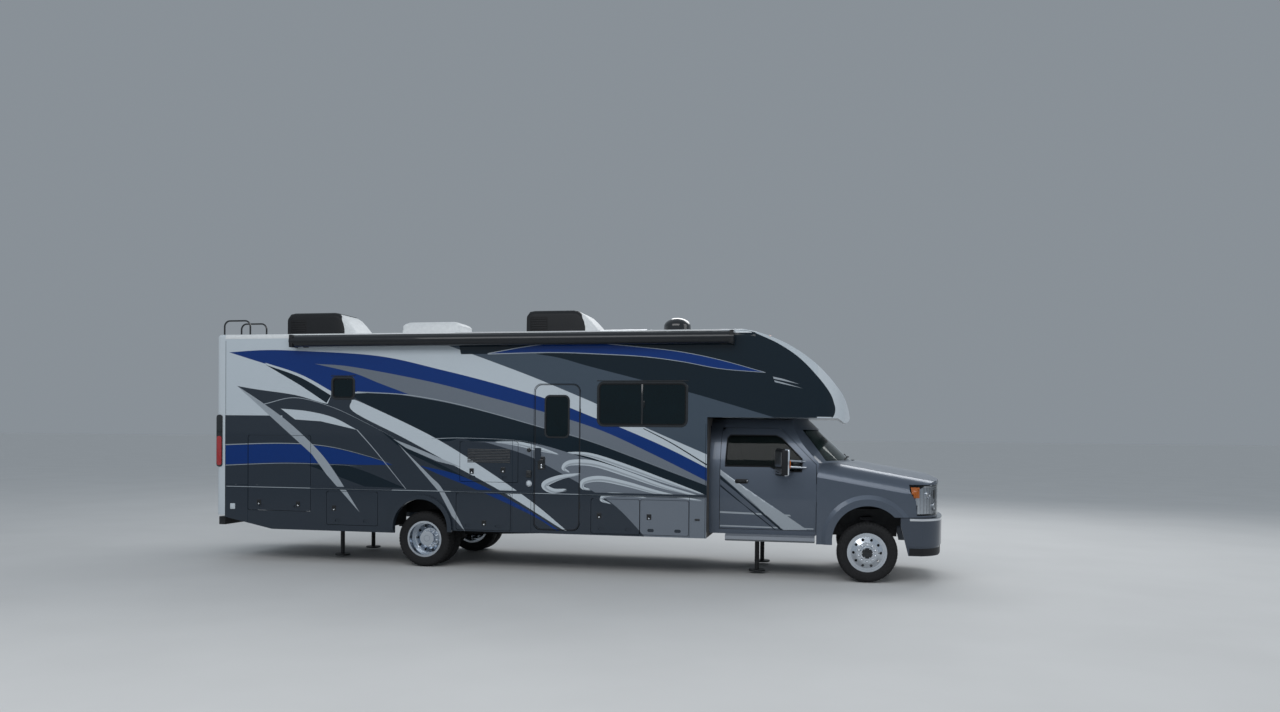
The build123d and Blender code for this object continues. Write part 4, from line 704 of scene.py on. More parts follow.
def new_piece(name, verts, faces, finishes, body, which=None, smooth=False):
    mesh = bpy.data.meshes.new(name)
    mesh.from_pydata([tuple(v) for v in verts], [], [tuple(f) for f in faces])
    for made in finishes:
        mesh.materials.append(made)
    if which is not None:
        mesh.polygons.foreach_set("material_index", which)
    mesh.polygons.foreach_set("use_smooth", [smooth] * len(mesh.polygons))
    mesh.update()
    piece = placed(bpy.data.objects.new(name, mesh))
    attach(piece, body)
    return piece


def film(name, node, body, side, y):
    """Film over one flat panel. side is -1 for the passenger's side and 1 for the driver's."""
    points, faces, names = knit(panel_edges(node, side * y))
    verts = [(p[0], side * (y + film_gap), p[1]) for p in points]
    verts, faces = compact(verts, [f[::1 if side < 0 else -1] for f in faces])
    new_piece(name, verts, faces, list(paints.values()), body,
              [list(paints).index(n) for n in names])
    print(name, len(faces), "triangles")


# %% [markdown]
# ## The side panels' films
# Walls, doors and hatches lie in one plane when shut, and the same stripes run across them all.
# Each could have a drawing of its own, but the stripes might not meet. So one drawing serves them
# all, and each panel's own border cuts it.

# %% Films for the side panels
for side, word in both:
    film("stripes_" + word + "_wall", word + "_wall", "vehicle", side, coach_half)
for side, word in both:
    film("stripes_nose_" + word, "nose_cap", "vehicle", side, coach_half)
for name in ("tall_bay_door", "rear_bay_door", "middle_bay_door", "side_hatch", "step_bay_door",
             "front_bay_door"):
    film("stripes_" + name, name, name + "_group", -1, coach_half)
film("stripes_left_bay_door", "left_bay_door", "left_bay_door_group", 1, coach_half)
film("stripes_entry_door", "entry_door", "entry_door_group", -1, coach_half)
film("stripes_slide_room", "slide_room", "slide_out", 1, slide_half)

# %% [markdown]
# ## Pressing film on curved places
# Where a panel bends, flat film would stand off it or cut into it. Cloth simulation could drape
# it, but paint has no folds. So each corner of the film is moved along a ray until it meets the
# surface, and set a millimetre above it. On a door the rays run along Y, and round the roof's
# edge they point at the middle of the bend.

# %% Film by rays
def surface_of(*names):
    """Search tree over the faces of one or more nodes, for finding points on them."""
    verts, faces = [], []
    for name in names:
        mesh, start = nodes[name].data, len(verts)
        verts += [v.co for v in mesh.vertices]
        faces += [tuple(start + i for i in p.vertices) for p in mesh.polygons]
    return BVHTree.FromPolygons(verts, faces)


def touch(surface, start, direction, lift):
    """The point where a ray meets the surface, lifted off it, or None."""
    hit, normal, *_ = surface.ray_cast(Vector(start), Vector(direction))
    return hit + normal * lift if hit else None


def cast_film(name, targets, body, side, outline, sheets, finishes, spacing=0.03, lift=0.0013,
              jump=0.05):
    """Film cut from outlines in (x, z) and pressed along Y onto a curved piece. Only the sheets
    are kept, so bare places stay bare, and so do steps deeper than jump. finishes is a table
    from sheet name to finish."""
    surface = surface_of(*targets)
    points, faces, names = knit(closed_edges(outline), spacing, sheets)
    spots = [touch(surface, (p[0], side * 1.8, p[1]), (0, -side, 0), lift) for p in points]
    kept = [(f[::1 if side < 0 else -1], n) for f, n in zip(faces, names)
            if n in finishes and all(spots[i] for i in f)
            and max(spots[i][1] for i in f) - min(spots[i][1] for i in f) < jump]
    verts, faces = compact(spots, [f for f, _ in kept])
    return new_piece(name, verts, faces, list(finishes.values()), body,
                     [list(finishes).index(n) for _, n in kept], True)


def grid_skin(name, targets, body, rays, columns, finishes, lift=0.0013, choose=None):
    """Skin over a curved place from a grid of rays, each (origin, direction, drawing point).
    choose gives each cell's finish number from its drawing points, or a negative one for none."""
    surface = surface_of(*targets)
    spots = [touch(surface, start, direction, lift) for start, direction, _ in rays]
    cells = []
    for row in range(len(rays) // columns - 1):
        for i in range(row * columns, row * columns + columns - 1):
            corners = (i, i + 1, i + columns + 1, i + columns)
            if all(spots[k] for k in corners):
                cells.append(corners)
    middles = np.array([np.mean([rays[k][2] for k in corners], axis=0) for corners in cells])
    kept = [(c, n) for c, n in zip(cells, choose(middles) if choose else [0] * len(cells)) if n >= 0]
    verts, faces = compact(spots, [c for c, _ in kept])
    return new_piece(name, verts, faces, finishes, body, [n for _, n in kept], True)


def coats_at(points):
    """The topmost coat at each drawing point, as its place in the table of paints."""
    on_top = ["white"] * len(points)
    for coat, outline in coats:
        for i in np.nonzero(inside(points, closed_edges(outline)))[0]:
            on_top[i] = coat
    return [-1 if coat == "white" else list(paints).index(coat) for coat in on_top]


print("pressing tools ready")

# %% [markdown]
# ## Round the nose and the roof's edge
# The colours run on round the bend of the cap and the roof. The flat film could be folded over,
# but it would crease, so rays carry the drawing round. Where it is white, nothing is laid, as the
# moulding there is white itself. At the nose's front edge that bare white is painted reflection,
# the glare of the low sun on the dark cap.

# %% Films that wrap the nose and the roof edge
dark_paints = {name: made for name, made in paints.items() if name != "white"}
nose_corner = [(3.30, 2.133), (3.90, 2.133), (3.90, 2.50), (3.40, 3.05), (3.30, 3.10)]
edge_angles = [math.radians(a) for a in (0, 15, 30, 45, 60, 75)]
bend_y, bend_drop, drawn_z = 1.13, 0.16, 3.32
roof_top, brow_start, brow_fall = 3.398, 2.36, 0.32
# Columns: node, and where its roof edge starts and ends along x
edge_runs = [("roof", -1.45, 2.357), ("nose_cap", 2.362, 3.42)]
for side, word in both:
    cast_film("nose_wrap_" + word, ["nose_cap"], "vehicle", side, nose_corner, coats, dark_paints,
              0.018, 0.0016)
    for node, low_x, high_x in edge_runs:
        rays = []
        for x in np.linspace(low_x, high_x, 60):
            top = roof_top - max(0.0, x - brow_start) ** 2 * brow_fall
            for angle in edge_angles:
                middle = Vector((x, side * bend_y, top - bend_drop))
                out = Vector((0, side * math.cos(angle), math.sin(angle)))
                rays.append((tuple(middle + out), tuple(-out), (x, drawn_z)))
        grid_skin("roof_edge_" + node + "_" + word, [node], "vehicle", rays, len(edge_angles),
                  list(paints.values()), choose=coats_at)
print("wraps", len(both) * (1 + len(edge_runs)))

# %% [markdown]
# ## Tools for small forms: turned and drawn
# Trim is turned, extruded or drawn along a line, as it is in a workshop. Blender's own bevels
# and screws could make these, but each would need its own object. These small tools return
# corner points and faces that can be put together first.

# %% Turned and swept forms
def ring_faces(rows, count):
    """Quads between rows of points, each row closed on itself."""
    return [(i * count + k, i * count + (k + 1) % count, (i + 1) * count + (k + 1) % count,
             (i + 1) * count + k) for i in range(rows - 1) for k in range(count)]


def end_faces(rows, count):
    """One face over the first row and one over the last."""
    return [tuple(range(count))[::-1], tuple(range((rows - 1) * count, rows * count))]


def turned(profile, steps=32):
    """Turn a profile of (radius, height) pairs round local Z."""
    verts, faces, rows = [], [], []
    for r, h in profile:
        if r < 1e-6:
            rows.append([len(verts)])
            verts.append((0, 0, h))
        else:
            rows.append(list(range(len(verts), len(verts) + steps)))
            verts += [(r * math.cos(2 * math.pi * i / steps),
                       r * math.sin(2 * math.pi * i / steps), h)
                      for i in range(steps)]
    for low, high in zip(rows, rows[1:]):
        for i in range(steps):
            j = (i + 1) % steps
            ring = [low[i % len(low)], low[j % len(low)], high[j % len(high)], high[i % len(high)]]
            ring = list(dict.fromkeys(ring))
            if len(ring) > 2:
                faces.append(tuple(ring))
    return verts, faces


def swept(points, radius, sides=10, flat=1.0):
    """Round or flattened bar along points. flat squeezes it along its own second direction."""
    line = [Vector(p) for p in points]
    verts, first = [], None
    for i, p in enumerate(line):
        along = (line[min(i + 1, len(line) - 1)] - line[max(i - 1, 0)]).normalized()
        if first is None:
            first = Vector((0, 0, 1)) if abs(along.z) < 0.9 else Vector((1, 0, 0))
        first = (first - along * first.dot(along)).normalized()
        second = along.cross(first)
        for k in range(sides):
            a = 2 * math.pi * k / sides
            verts.append(tuple(p + first * radius * math.cos(a)
                               + second * radius * flat * math.sin(a)))
    return verts, ring_faces(len(line), sides) + end_faces(len(line), sides)


print("turning and sweeping ready")

# %% [markdown]
# ## Tools for small forms: plates
# Most fittings are flat plates with round corners and a softened edge. A plain box with a bevel
# would give a sharp outline, so a plate is a stack of outlines: the middle ones are full size
# and the outer ones are drawn in a little.

# %% Outlines and plates
def signed_area(outline):
    return sum(a[0] * b[1] - b[0] * a[1] for a, b in closed_edges(outline))


def shrunk(outline, inset):
    """Outline moved inwards by inset along the mean of its neighbouring edges' normals."""
    turn = 1 if signed_area(outline) > 0 else -1
    made = []
    for before, here, after in zip(outline[-1:] + outline[:-1], outline, outline[1:] + outline[:1]):
        one = (Vector(here) - Vector(before)).normalized()
        two = (Vector(after) - Vector(here)).normalized()
        normal = Vector((-one.y - two.y, one.x + two.x)).normalized() * turn
        half = max(0.35, math.sqrt(max(0.0, (1 + one.dot(two)) / 2)))
        made.append(tuple(Vector(here) + normal * inset / half))
    return made


def rounded(width, height, radius, steps=5, x=0.0):
    """Rounded rectangle about (x, 0)."""
    outline = []
    for cx, cy, start in ((1, 1, 0), (-1, 1, 90), (-1, -1, 180), (1, -1, 270)):
        for i in range(steps + 1):
            a = math.radians(start + 90 * i / steps)
            outline.append((x + cx * (width / 2 - radius) + radius * math.cos(a),
                            cy * (height / 2 - radius) + radius * math.sin(a)))
    return outline


def stacked(layers, closed=True):
    """Skin through outlines of equal count, each at its own height: (outline, height) pairs."""
    rows, count = len(layers), len(layers[0][0])
    verts = [(p[0], p[1], h) for outline, h in layers for p in outline]
    return verts, ring_faces(rows, count) + (end_faces(rows, count) if closed else [])


def plate(width, height, radius, low, high, edge=0.002, steps=5):
    """Rounded plate with softened edges, between two heights."""
    outline = rounded(width, height, radius, steps)
    small, middle = shrunk(outline, edge), shrunk(outline, edge * 0.3)
    return stacked([(small, low), (outline, low + edge), (outline, high - edge),
                    (middle, high - edge * 0.3), (small, high)])


def frame_ring(outer, width, low, high, edge=0.002):
    """Closed frame between an outline and the same outline moved in by width."""
    inner = shrunk(outer, width)
    return stacked([(inner, low), (outer, low), (outer, high - edge), (shrunk(outer, edge), high),
                    (shrunk(outer, width - edge), high), (inner, high - edge), (inner, low)], False)


print("plates ready")

# %% [markdown]
# ## Putting forms together and in their places
# Thirty nuts could be thirty objects, but a long list is hard to keep in order. A gathering
# keeps small forms together until they are one piece with a few finishes. Each form is made
# about its own middle, and a place, which is a matrix, says where that middle goes and which
# way it faces.

# %% Gathering and places
class Gathering:
    """Small forms kept together until they become one piece."""

    def __init__(self):
        self.verts, self.faces, self.which = [], [], []

    def add(self, form, place=None, which=0):
        start = len(self.verts)
        self.verts += [tuple(place @ Vector(v)) if place else tuple(v) for v in form[0]]
        self.faces += [tuple(start + i for i in f) for f in form[1]]
        self.which += [which] * len(form[1])

    def piece(self, name, finishes, body, slot, angle=35):
        made = new_piece(name, self.verts, self.faces, finishes, body, self.which, True)
        shape = bmesh.new()
        shape.from_mesh(made.data)
        bmesh.ops.recalc_face_normals(shape, faces=shape.faces)
        shape.to_mesh(made.data)
        shape.free()
        made.data.set_sharp_from_angle(angle=math.radians(angle))
        return made


def at(x, y, z):
    return Matrix.Translation((x, y, z))


def on_side(side, x, z, y):
    """Place on a side wall: local x along the wall, local y up, local z outwards."""
    out = Vector((0, side, 0))
    across = Vector((0, 0, 1)).cross(out)
    return at(x, side * y, z) @ Matrix((across, (0, 0, 1), out)).transposed().to_4x4()


def facing(place, out, high=(0, 0, 1)):
    """Place with local z along out and local y near high."""
    out = Vector(out).normalized()
    across = Vector(high).cross(out).normalized()
    return at(*place) @ Matrix((across, out.cross(across), out)).transposed().to_4x4()


axle_front, axle_rear, axle_z = 4.3075, -1.9405, 0.402
print("axles", round(axle_front - axle_rear, 3), "m apart")

# %% [markdown]
# ## Tyres
# A road tyre is a smooth casing with a moulded tread: ribs between deep grooves, cut across by
# blocks at the shoulders. The frame's tyre is the casing. A bump pattern could fake the tread,
# but at the tyre's edge the outline would stay round, so here the grooves are real.

# %% Tread and sidewall
# Columns: distance from the tyre's middle, radius, depth of the cross-cut there
half_tread = [
    (0.0000, 0.4020, 0.003), (0.0175, 0.4016, 0.003), (0.0185, 0.3920, 0.0), (0.0255, 0.3918, 0.0),
    (0.0265, 0.4010, 0.004), (0.0535, 0.3976, 0.004), (0.0545, 0.3880, 0.0), (0.0615, 0.3876, 0.0),
    (0.0625, 0.3960, 0.008), (0.0880, 0.3910, 0.008), (0.0965, 0.3850, 0.008),
    (0.1030, 0.3720, 0.006), (0.1060, 0.3640, 0.0), (0.1090, 0.3560, 0.0), (0.1120, 0.3400, 0.0),
    (0.1122, 0.3250, 0.0), (0.1100, 0.3080, 0.0), (0.1096, 0.3060, 0.0), (0.1110, 0.3030, 0.0),
    (0.1100, 0.2990, 0.0), (0.1060, 0.2900, 0.0), (0.1010, 0.2780, 0.0), (0.0960, 0.2680, 0.0),
    (0.0900, 0.2630, 0.0),
]
tread = [(-a, r, cut) for a, r, cut in half_tread[:0:-1]] + half_tread
pitches = 52
slant = 0.05        # turns that a cross-cut leans per metre of width
# Columns: part of a pitch, cut there or not
cut_steps = ((0.0, 0), (0.04, 1), (0.24, 1), (0.28, 0))


def tyre_form():
    verts, rows, count = [], pitches * len(cut_steps), len(tread)
    for i in range(pitches):
        for part, cut in cut_steps:
            for across, r, depth in tread:
                a = 2 * math.pi * ((i + part) / pitches + abs(across) * slant)
                reach = r - depth * cut
                verts.append((reach * math.cos(a), reach * math.sin(a), across))
    faces = []
    for i in range(rows):
        j = (i + 1) % rows
        faces += [(i * count + k, j * count + k, j * count + k + 1, i * count + k + 1)
                  for k in range(count - 1)]
    return verts, faces


tyre = tyre_form()
track_front, rear_outer, rear_inner = 0.950, 1.073, 0.807
# Columns: end of the piece's name, x of the axle, distances from the middle, body, node
tyre_sets = [("_front_tread", axle_front, [track_front], "_front_wheel", "_front_tyre"),
             ("_rear_treads", axle_rear, [rear_outer, rear_inner], "_rear_wheels", "_rear_tyres")]
for side, word in both:
    for end, x, from_middle, body, node in tyre_sets:
        gathered = Gathering()
        for y in from_middle:
            gathered.add(tyre, facing((x, side * y, axle_z), (0, side, 0)))
        made = gathered.piece(word + end, [rubber], word + body, "rubber_tyre", 50)
        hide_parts(word + node)
print("tyre quads", len(tyre[1]))

# %% [markdown]
# ## Wheel dressing
# The forged rims stay as the frame has them. Over their studs go bright nut covers, and over
# the hub goes a polished ring round a dark cap. The covers could be one ring of bumps, but each
# real one is a six-sided sleeve with a round top, and its flats catch the light one by one.

# %% Nut covers, hub caps and valves
def hexagon(corner):
    return [(corner * math.cos(math.radians(60 * i)), corner * math.sin(math.radians(60 * i)))
            for i in range(6)]


nut = stacked([(hexagon(0.0190), 0.0), (hexagon(0.0190), 0.024), (hexagon(0.0172), 0.0320),
               (hexagon(0.0120), 0.0365), (hexagon(0.0045), 0.0380)])
cap_screw = turned([(0.0058, 0.0), (0.0058, 0.004), (0.0048, 0.005), (0.0, 0.005)], 6)
# Columns: share of the hub's radius, height
hub_ring = [(0.98, -0.02), (1.012, -0.018), (1.012, -0.004), (0.99, 0.002), (0.90, 0.003),
            (0.86, -0.001), (0.85, -0.004)]
hub_cap = [(0.86, 0.0004), (0.60, 0.0008), (0.55, 0.0030), (0.40, 0.0036), (0.36, 0.0014),
           (0.0, 0.0014)]
valve = [(0.178, 0.0, -0.03), (0.176, 0.0, 0.006), (0.172, 0.0, 0.026)]
stud_circle, screw_circle = 0.1125, 0.72


def wheel_dressing(side, x, face_y, hub_y, hub_r, name, body):
    """Covers on the disc's face, a ring and cap on the hub's end and a valve in a hand hole."""
    trim = Gathering()
    disc = facing((x, side * face_y, axle_z), (0, side, 0))
    start = 18 if (disc.to_3x3() @ Vector((1, 0, 0))).x > 0 else -18
    for i in range(10):
        a = math.radians(start + 36 * i)
        stud = at(stud_circle * math.cos(a), stud_circle * math.sin(a), -0.001)
        trim.add(nut, disc @ stud @ Matrix.Rotation(a, 4, "Z"), 0)
    end = facing((x, side * hub_y, axle_z), (0, side, 0))
    for profile, which in ((hub_ring, 0), (hub_cap, 1)):
        trim.add(turned([(hub_r * share, h) for share, h in profile], 48), end, which)
    for i in range(6):
        a = math.radians(60 * i)
        trim.add(cap_screw, end @ at(hub_r * screw_circle * math.cos(a),
                                     hub_r * screw_circle * math.sin(a), 0.0006), 0)
    trim.add(swept([disc @ Vector(v) for v in valve], 0.0045, 8), None, 1)
    trim.piece(name, [chrome, gloss_black], body, "chrome_trim")


# Columns: end of the piece's name, x of the axle, y of the disc, y and radius of the hub, body
wheel_sets = [("_front_nuts", axle_front, 1.068, 1.1135, 0.090, "_front_wheel"),
              ("_rear_nuts", axle_rear, 0.954, 1.0725, 0.105, "_rear_wheels")]
for side, word in both:
    for end, x, face_y, hub_y, hub_r, body in wheel_sets:
        wheel_dressing(side, x, face_y, hub_y, hub_r, word + end, word + body)
print("dressed wheels", len(both) * len(wheel_sets))

# %% [markdown]
# ## Air conditioners
# Two air conditioners stand on the roof, each a dark ribbed hood behind a sloping nose. The nose
# is painted pale, and that pale is painted reflection: the glare of the low sun on the black
# shroud. One box in two colours would do from far, but the hood really overlaps the nose and
# shades its edge. So each is two shells, drawn as hoops across the roof and skinned along it.

# %% Hoods and noses
def roof_hoop(half, height, corner, count=7):
    """Open-bottomed hoop across the roof, from one foot over the crown to the other."""
    hoop = [(-half, -0.045)]
    for i in range(count):
        a = math.radians(180 - 90 * i / (count - 1))
        hoop.append((-half + corner + corner * math.cos(a), height - corner + corner * math.sin(a)))
    return hoop + [(-y, z) for y, z in hoop[::-1]]


def roof_shell(sections, base):
    """Skin over hoops placed along X: (x, half width, height, corner radius)."""
    rings = [[(x, y, base + z) for y, z in roof_hoop(half, height, min(corner, height * 0.9))]
             for x, half, height, corner in sections]
    rows, count = len(rings), len(rings[0])
    faces = [(i * count + k, i * count + k + 1, (i + 1) * count + k + 1, (i + 1) * count + k)
             for i in range(rows - 1) for k in range(count - 1)]
    return [v for ring in rings for v in ring], faces + [f[::-1] for f in end_faces(rows, count)]


roof_z = 3.394
# Columns: from the hood's back, half width, share of the height, corner radius
hood_back = [(0.0, 0.330, 0.62, 0.05), (0.006, 0.342, 0.84, 0.07), (0.045, 0.348, 0.97, 0.08),
             (0.12, 0.350, 1.0, 0.08)]
# Columns: from the hood's front, half width, share of the height, corner radius
hood_front = [(-0.09, 0.350, 1.0, 0.08), (-0.02, 0.350, 0.97, 0.08), (0.04, 0.349, 0.86, 0.08),
              (0.08, 0.348, 0.68, 0.08), (0.10, 0.347, 0.45, 0.07)]
# Columns: share of the nose's run, half width, share of the height, corner radius
nose_run = [(0.02, 0.339, 0.93, 0.09), (0.25, 0.338, 0.82, 0.09), (0.50, 0.335, 0.62, 0.09),
            (0.75, 0.330, 0.38, 0.08), (0.92, 0.322, 0.20, 0.05)]
roof_kit = Gathering()
# Columns: back of the hood, front of the hood, tip of the nose, top
for x0, x1, x2, top in ((-4.6425, -3.7625, -3.4325, 3.808), (-0.6925, 0.1175, 0.4575, 3.788)):
    high, run = top - roof_z, x2 - x1
    hood = [(x0 + x, half, high * share, corner) for x, half, share, corner in hood_back]
    hood += [(x1 + x, half, high * share, corner) for x, half, share, corner in hood_front]
    roof_kit.add(roof_shell(hood, roof_z), None, 0)
    nose = [(x1 - 0.16, 0.339, high * 0.95, 0.09)]
    nose += [(x1 + run * part, half, high * share, corner) for part, half, share, corner in nose_run]
    nose.append((x2, 0.315, high * 0.08, 0.02))
    # Finish 1 puts the pale roof skin on the nose: painted reflection of the low sun on the black
    # shroud.
    roof_kit.add(roof_shell(nose, roof_z), None, 1)
    for side, _ in both:
        for i in range(6):
            place = on_side(side, x0 + 0.20, roof_z + 0.09 + 0.036 * i, 0.349)
            roof_kit.add(plate(0.24, 0.016, 0.007, -0.004, 0.006), place, 0)
        place = on_side(side, x0 + 0.20, roof_z + 0.18, 0.3485)
        roof_kit.add(plate(0.27, 0.23, 0.02, -0.004, 0.002, 0.001), place, 4)
    for i in range(7):
        place = facing((x0 + 0.004, 0, roof_z + 0.06 + 0.028 * i), (-1, 0, 0.15))
        roof_kit.add(plate(0.56, 0.012, 0.005, -0.004, 0.006), place, 4)
print("air conditioner faces", len(roof_kit.faces))

# %% [markdown]
# ## Vent, dome and solar panel
# Between them sit a long lidded vent, a black antenna dome, a solar panel and a short post. The
# frame holds their room as plain blocks. The lid is a stack of outlines with two steps, the dome
# and the post are turned, and the panel is laid with single cells, because their pale gaps show.

# %% Vent, dome, panel and post
vent_x0, vent_x1 = axle_rear - 0.802, axle_rear + 0.178
vent_mid, vent_long = (vent_x0 + vent_x1) / 2, vent_x1 - vent_x0
# Columns: how much shorter than the vent, width, height
lid_steps = [(0.0, 0.600, -0.03), (0.0, 0.600, 0.060), (0.03, 0.585, 0.075), (0.03, 0.585, 0.120),
             (0.045, 0.570, 0.135), (0.045, 0.570, 0.195), (0.10, 0.530, 0.225), (0.20, 0.440, 0.250),
             (0.24, 0.400, 0.254)]
lid = stacked([(rounded(vent_long - less, wide, 0.05), z) for less, wide, z in lid_steps])
roof_kit.add(lid, at(vent_mid, 0, roof_z), 1)
for side, _ in both:
    for i in range(3):
        roof_kit.add(plate(vent_long - 0.30, 0.020, 0.008, 0.0, 0.008, 0.003),
                     at(vent_mid, side * 0.07 * i, roof_z + 0.252), 1)
dome_place = at(axle_front - 2.760, 0, roof_z)
roof_kit.add(turned([(0.222, -0.006), (0.222, 0.012), (0.214, 0.018), (0.207, 0.020)], 48),
             dome_place, 1)
dome = [(0.205, 0.0), (0.205, 0.150)]
dome += [(0.205 * math.cos(math.radians(a)), 0.160 + 0.130 * math.sin(math.radians(a)))
         for a in range(6, 90, 7)] + [(0.0, 0.290)]
roof_kit.add(turned(dome, 48), dome_place, 2)
panel_x0, panel_x1 = axle_front - 3.840, axle_front - 3.120
panel_mid = (panel_x0 + panel_x1) / 2
roof_kit.add(plate(panel_x1 - panel_x0, 0.995, 0.012, 0.038, 0.074, 0.003),
             at(panel_mid, 0, roof_z), 5)
cell = plate(0.108, 0.100, 0.010, 0.0736, 0.0752, 0.0004, 3)
for i in range(6):
    for k in range(9):
        roof_kit.add(cell, at(panel_mid + (i - 2.5) * 0.113, (k - 4) * 0.106, roof_z), 3)
for x in (panel_x0 + 0.12, panel_x1 - 0.12):
    for y in (-0.44, 0.44):
        roof_kit.add(plate(0.05, 0.07, 0.006, -0.02, 0.040), at(x, y, roof_z), 5)
post = [(0.030, -0.004), (0.030, 0.006), (0.014, 0.012), (0.010, 0.030), (0.006, 0.110),
        (0.009, 0.114), (0.009, 0.122), (0.0, 0.126)]
roof_kit.add(turned(post, 20), at(1.147, 0.0, roof_z), 1)
roof_finishes = [black_plastic, roof_skin, gloss_black, solar_cell, seal_rubber, bright_steel]
made = roof_kit.piece("roof_equipment", roof_finishes, "vehicle", "black_plastic", 30)
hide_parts("roof_units")
print("roof faces", len(roof_kit.faces))

# %% [markdown]
# ## Windows
# Coach windows are framed in slim black aluminium, with a rubber seal, a bar where the pane
# slides and a drip edge over the top. The frame lies on the wall's skin, so it is a ring a few
# millimetres high. Each window's size could be typed in, but the panes are separate islands of
# one node, so their sizes are read from it.

# %% Window frames and seals
def islands(node):
    """Boxes of a node's separate solids, as (low, high)."""
    shape = bmesh.new()
    shape.from_mesh(nodes[node].data)
    bmesh.ops.remove_doubles(shape, verts=shape.verts, dist=1e-5)
    left, found = set(shape.verts), []
    while left:
        group, edge = set(), [left.pop()]
        while edge:
            vert = edge.pop()
            group.add(vert)
            near = {e.other_vert(vert) for e in vert.link_edges} & left
            left -= near
            edge += near
        spots = np.array([tuple(v.co) for v in group])
        found.append((Vector(spots.min(0)), Vector(spots.max(0))))
    shape.free()
    return sorted(found, key=lambda b: tuple(b[0]))


frames, panes = Gathering(), islands("coach_windows")
for low, high in panes:
    side = -1 if low.y < 0 else 1
    wide, tall = high.x - low.x, high.z - low.z
    place = on_side(side, (low.x + high.x) / 2, (low.z + high.z) / 2, 1.2835)
    corner = min(0.075, 0.18 * tall)
    outer = rounded(wide + 0.036, tall + 0.036, corner + 0.018)
    frames.add(frame_ring(outer, 0.030, -0.004, 0.007), place, 0)
    inner = rounded(wide - 0.030, tall - 0.030, corner * 0.8)
    frames.add(frame_ring(inner, 0.010, -0.006, 0.003), place, 1)
    if wide > 0.6:
        frames.add(plate(0.026, tall - 0.04, 0.004, -0.006, 0.004), place, 0)
        frames.add(plate(0.012, 0.09, 0.004, 0.0, 0.012), place @ at(0.028, 0, 0), 0)
    drip = [(x, tall / 2 + 0.026, 0.002) for x in (-wide / 2 - 0.02, wide / 2 + 0.02)]
    frames.add(swept(drip, 0.006, 8), place, 0)
frames.piece("window_frames", [gloss_black, seal_rubber], "vehicle", "black_plastic")
print("windows", len(panes))

# %% [markdown]
# ## The entry door
# The door closes flush, so what one sees is the rubber round it, its window, the lock with its
# pull handle, and three hinge barrels on the front edge. A gap cut into the wall would show the
# rubber too, but the frame's wall can't change, so the rubber is a low ring. The barrels stand
# on the hinge's own axis, so that they turn in place.

# %% Entry door's seal, window, lock and hinges
def middle_and_size(node):
    """Middle of a node's box and its three lengths."""
    low, high = (np.array(corner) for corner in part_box(node))
    return (low + high) / 2, high - low


door = Gathering()
door_mid, door_low, door_high = 0.078, 0.600, 2.637
seal = rounded(0.652, door_high - door_low - 0.010, 0.105, 8)
door.add(frame_ring(seal, 0.010, -0.001, 0.0035, 0.001),
         on_side(-1, door_mid, (door_low + door_high) / 2, 1.2832), 1)
middle, size = middle_and_size("entry_door_glass")
door.add(frame_ring(rounded(size[0] + 0.032, size[2] + 0.032, 0.075), 0.026, -0.004, 0.007),
         on_side(-1, middle[0], middle[2], 1.2835), 0)
keyhole = turned([(0.012, 0.008), (0.012, 0.013), (0.009, 0.015), (0.0, 0.015)], 20)
# Columns: form, x and y from the lock's middle, finish
lock_parts = [(plate(0.105, 0.185, 0.020, 0.0, 0.010, 0.003), 0.0, 0.0, 0),
              (plate(0.070, 0.075, 0.014, 0.008, 0.013), 0.0, 0.035, 1),
              (plate(0.062, 0.050, 0.012, 0.010, 0.026, 0.005), 0.004, 0.026, 0),
              (keyhole, 0.0, -0.030, 2), (keyhole, 0.0, -0.062, 2)]
for form, x, y, which in lock_parts:
    door.add(form, on_side(-1, -0.145, 1.534, 1.2832) @ at(x, y, 0), which)
hinge_x, hinge_y = 0.4102, -1.2845
for z in (0.95, 1.45, 2.25):
    hinge = [(hinge_x, hinge_y, z - 0.045), (hinge_x, hinge_y, z + 0.045)]
    door.add(swept(hinge, 0.0060, 10), None, 0)
door.piece("entry_door_trim", [gloss_black, seal_rubber, chrome], "entry_door_group", "black_plastic")
print("door trim faces", len(door.faces))

# %% [markdown]
# ## Latches
# Each hatch closes with a square slam latch: a plate, a sprung paddle and a lock barrel in it.
# One piece could hold all latches, but they would stay behind when a hatch opens. So each hatch
# has its own piece, which rides with it. The upper hatch breathes through nine louvres.

# %% Slam latches and louvres
barrel = turned([(0.010, 0.004), (0.010, 0.009), (0.007, 0.011), (0.0, 0.011)], 20)
# Columns: form, height from the latch's middle, finish
latch_parts = [(plate(0.066, 0.078, 0.010, 0.0, 0.006), 0.0, 0),
               (plate(0.046, 0.036, 0.006, 0.004, 0.011, 0.003), 0.012, 1), (barrel, -0.022, 2)]
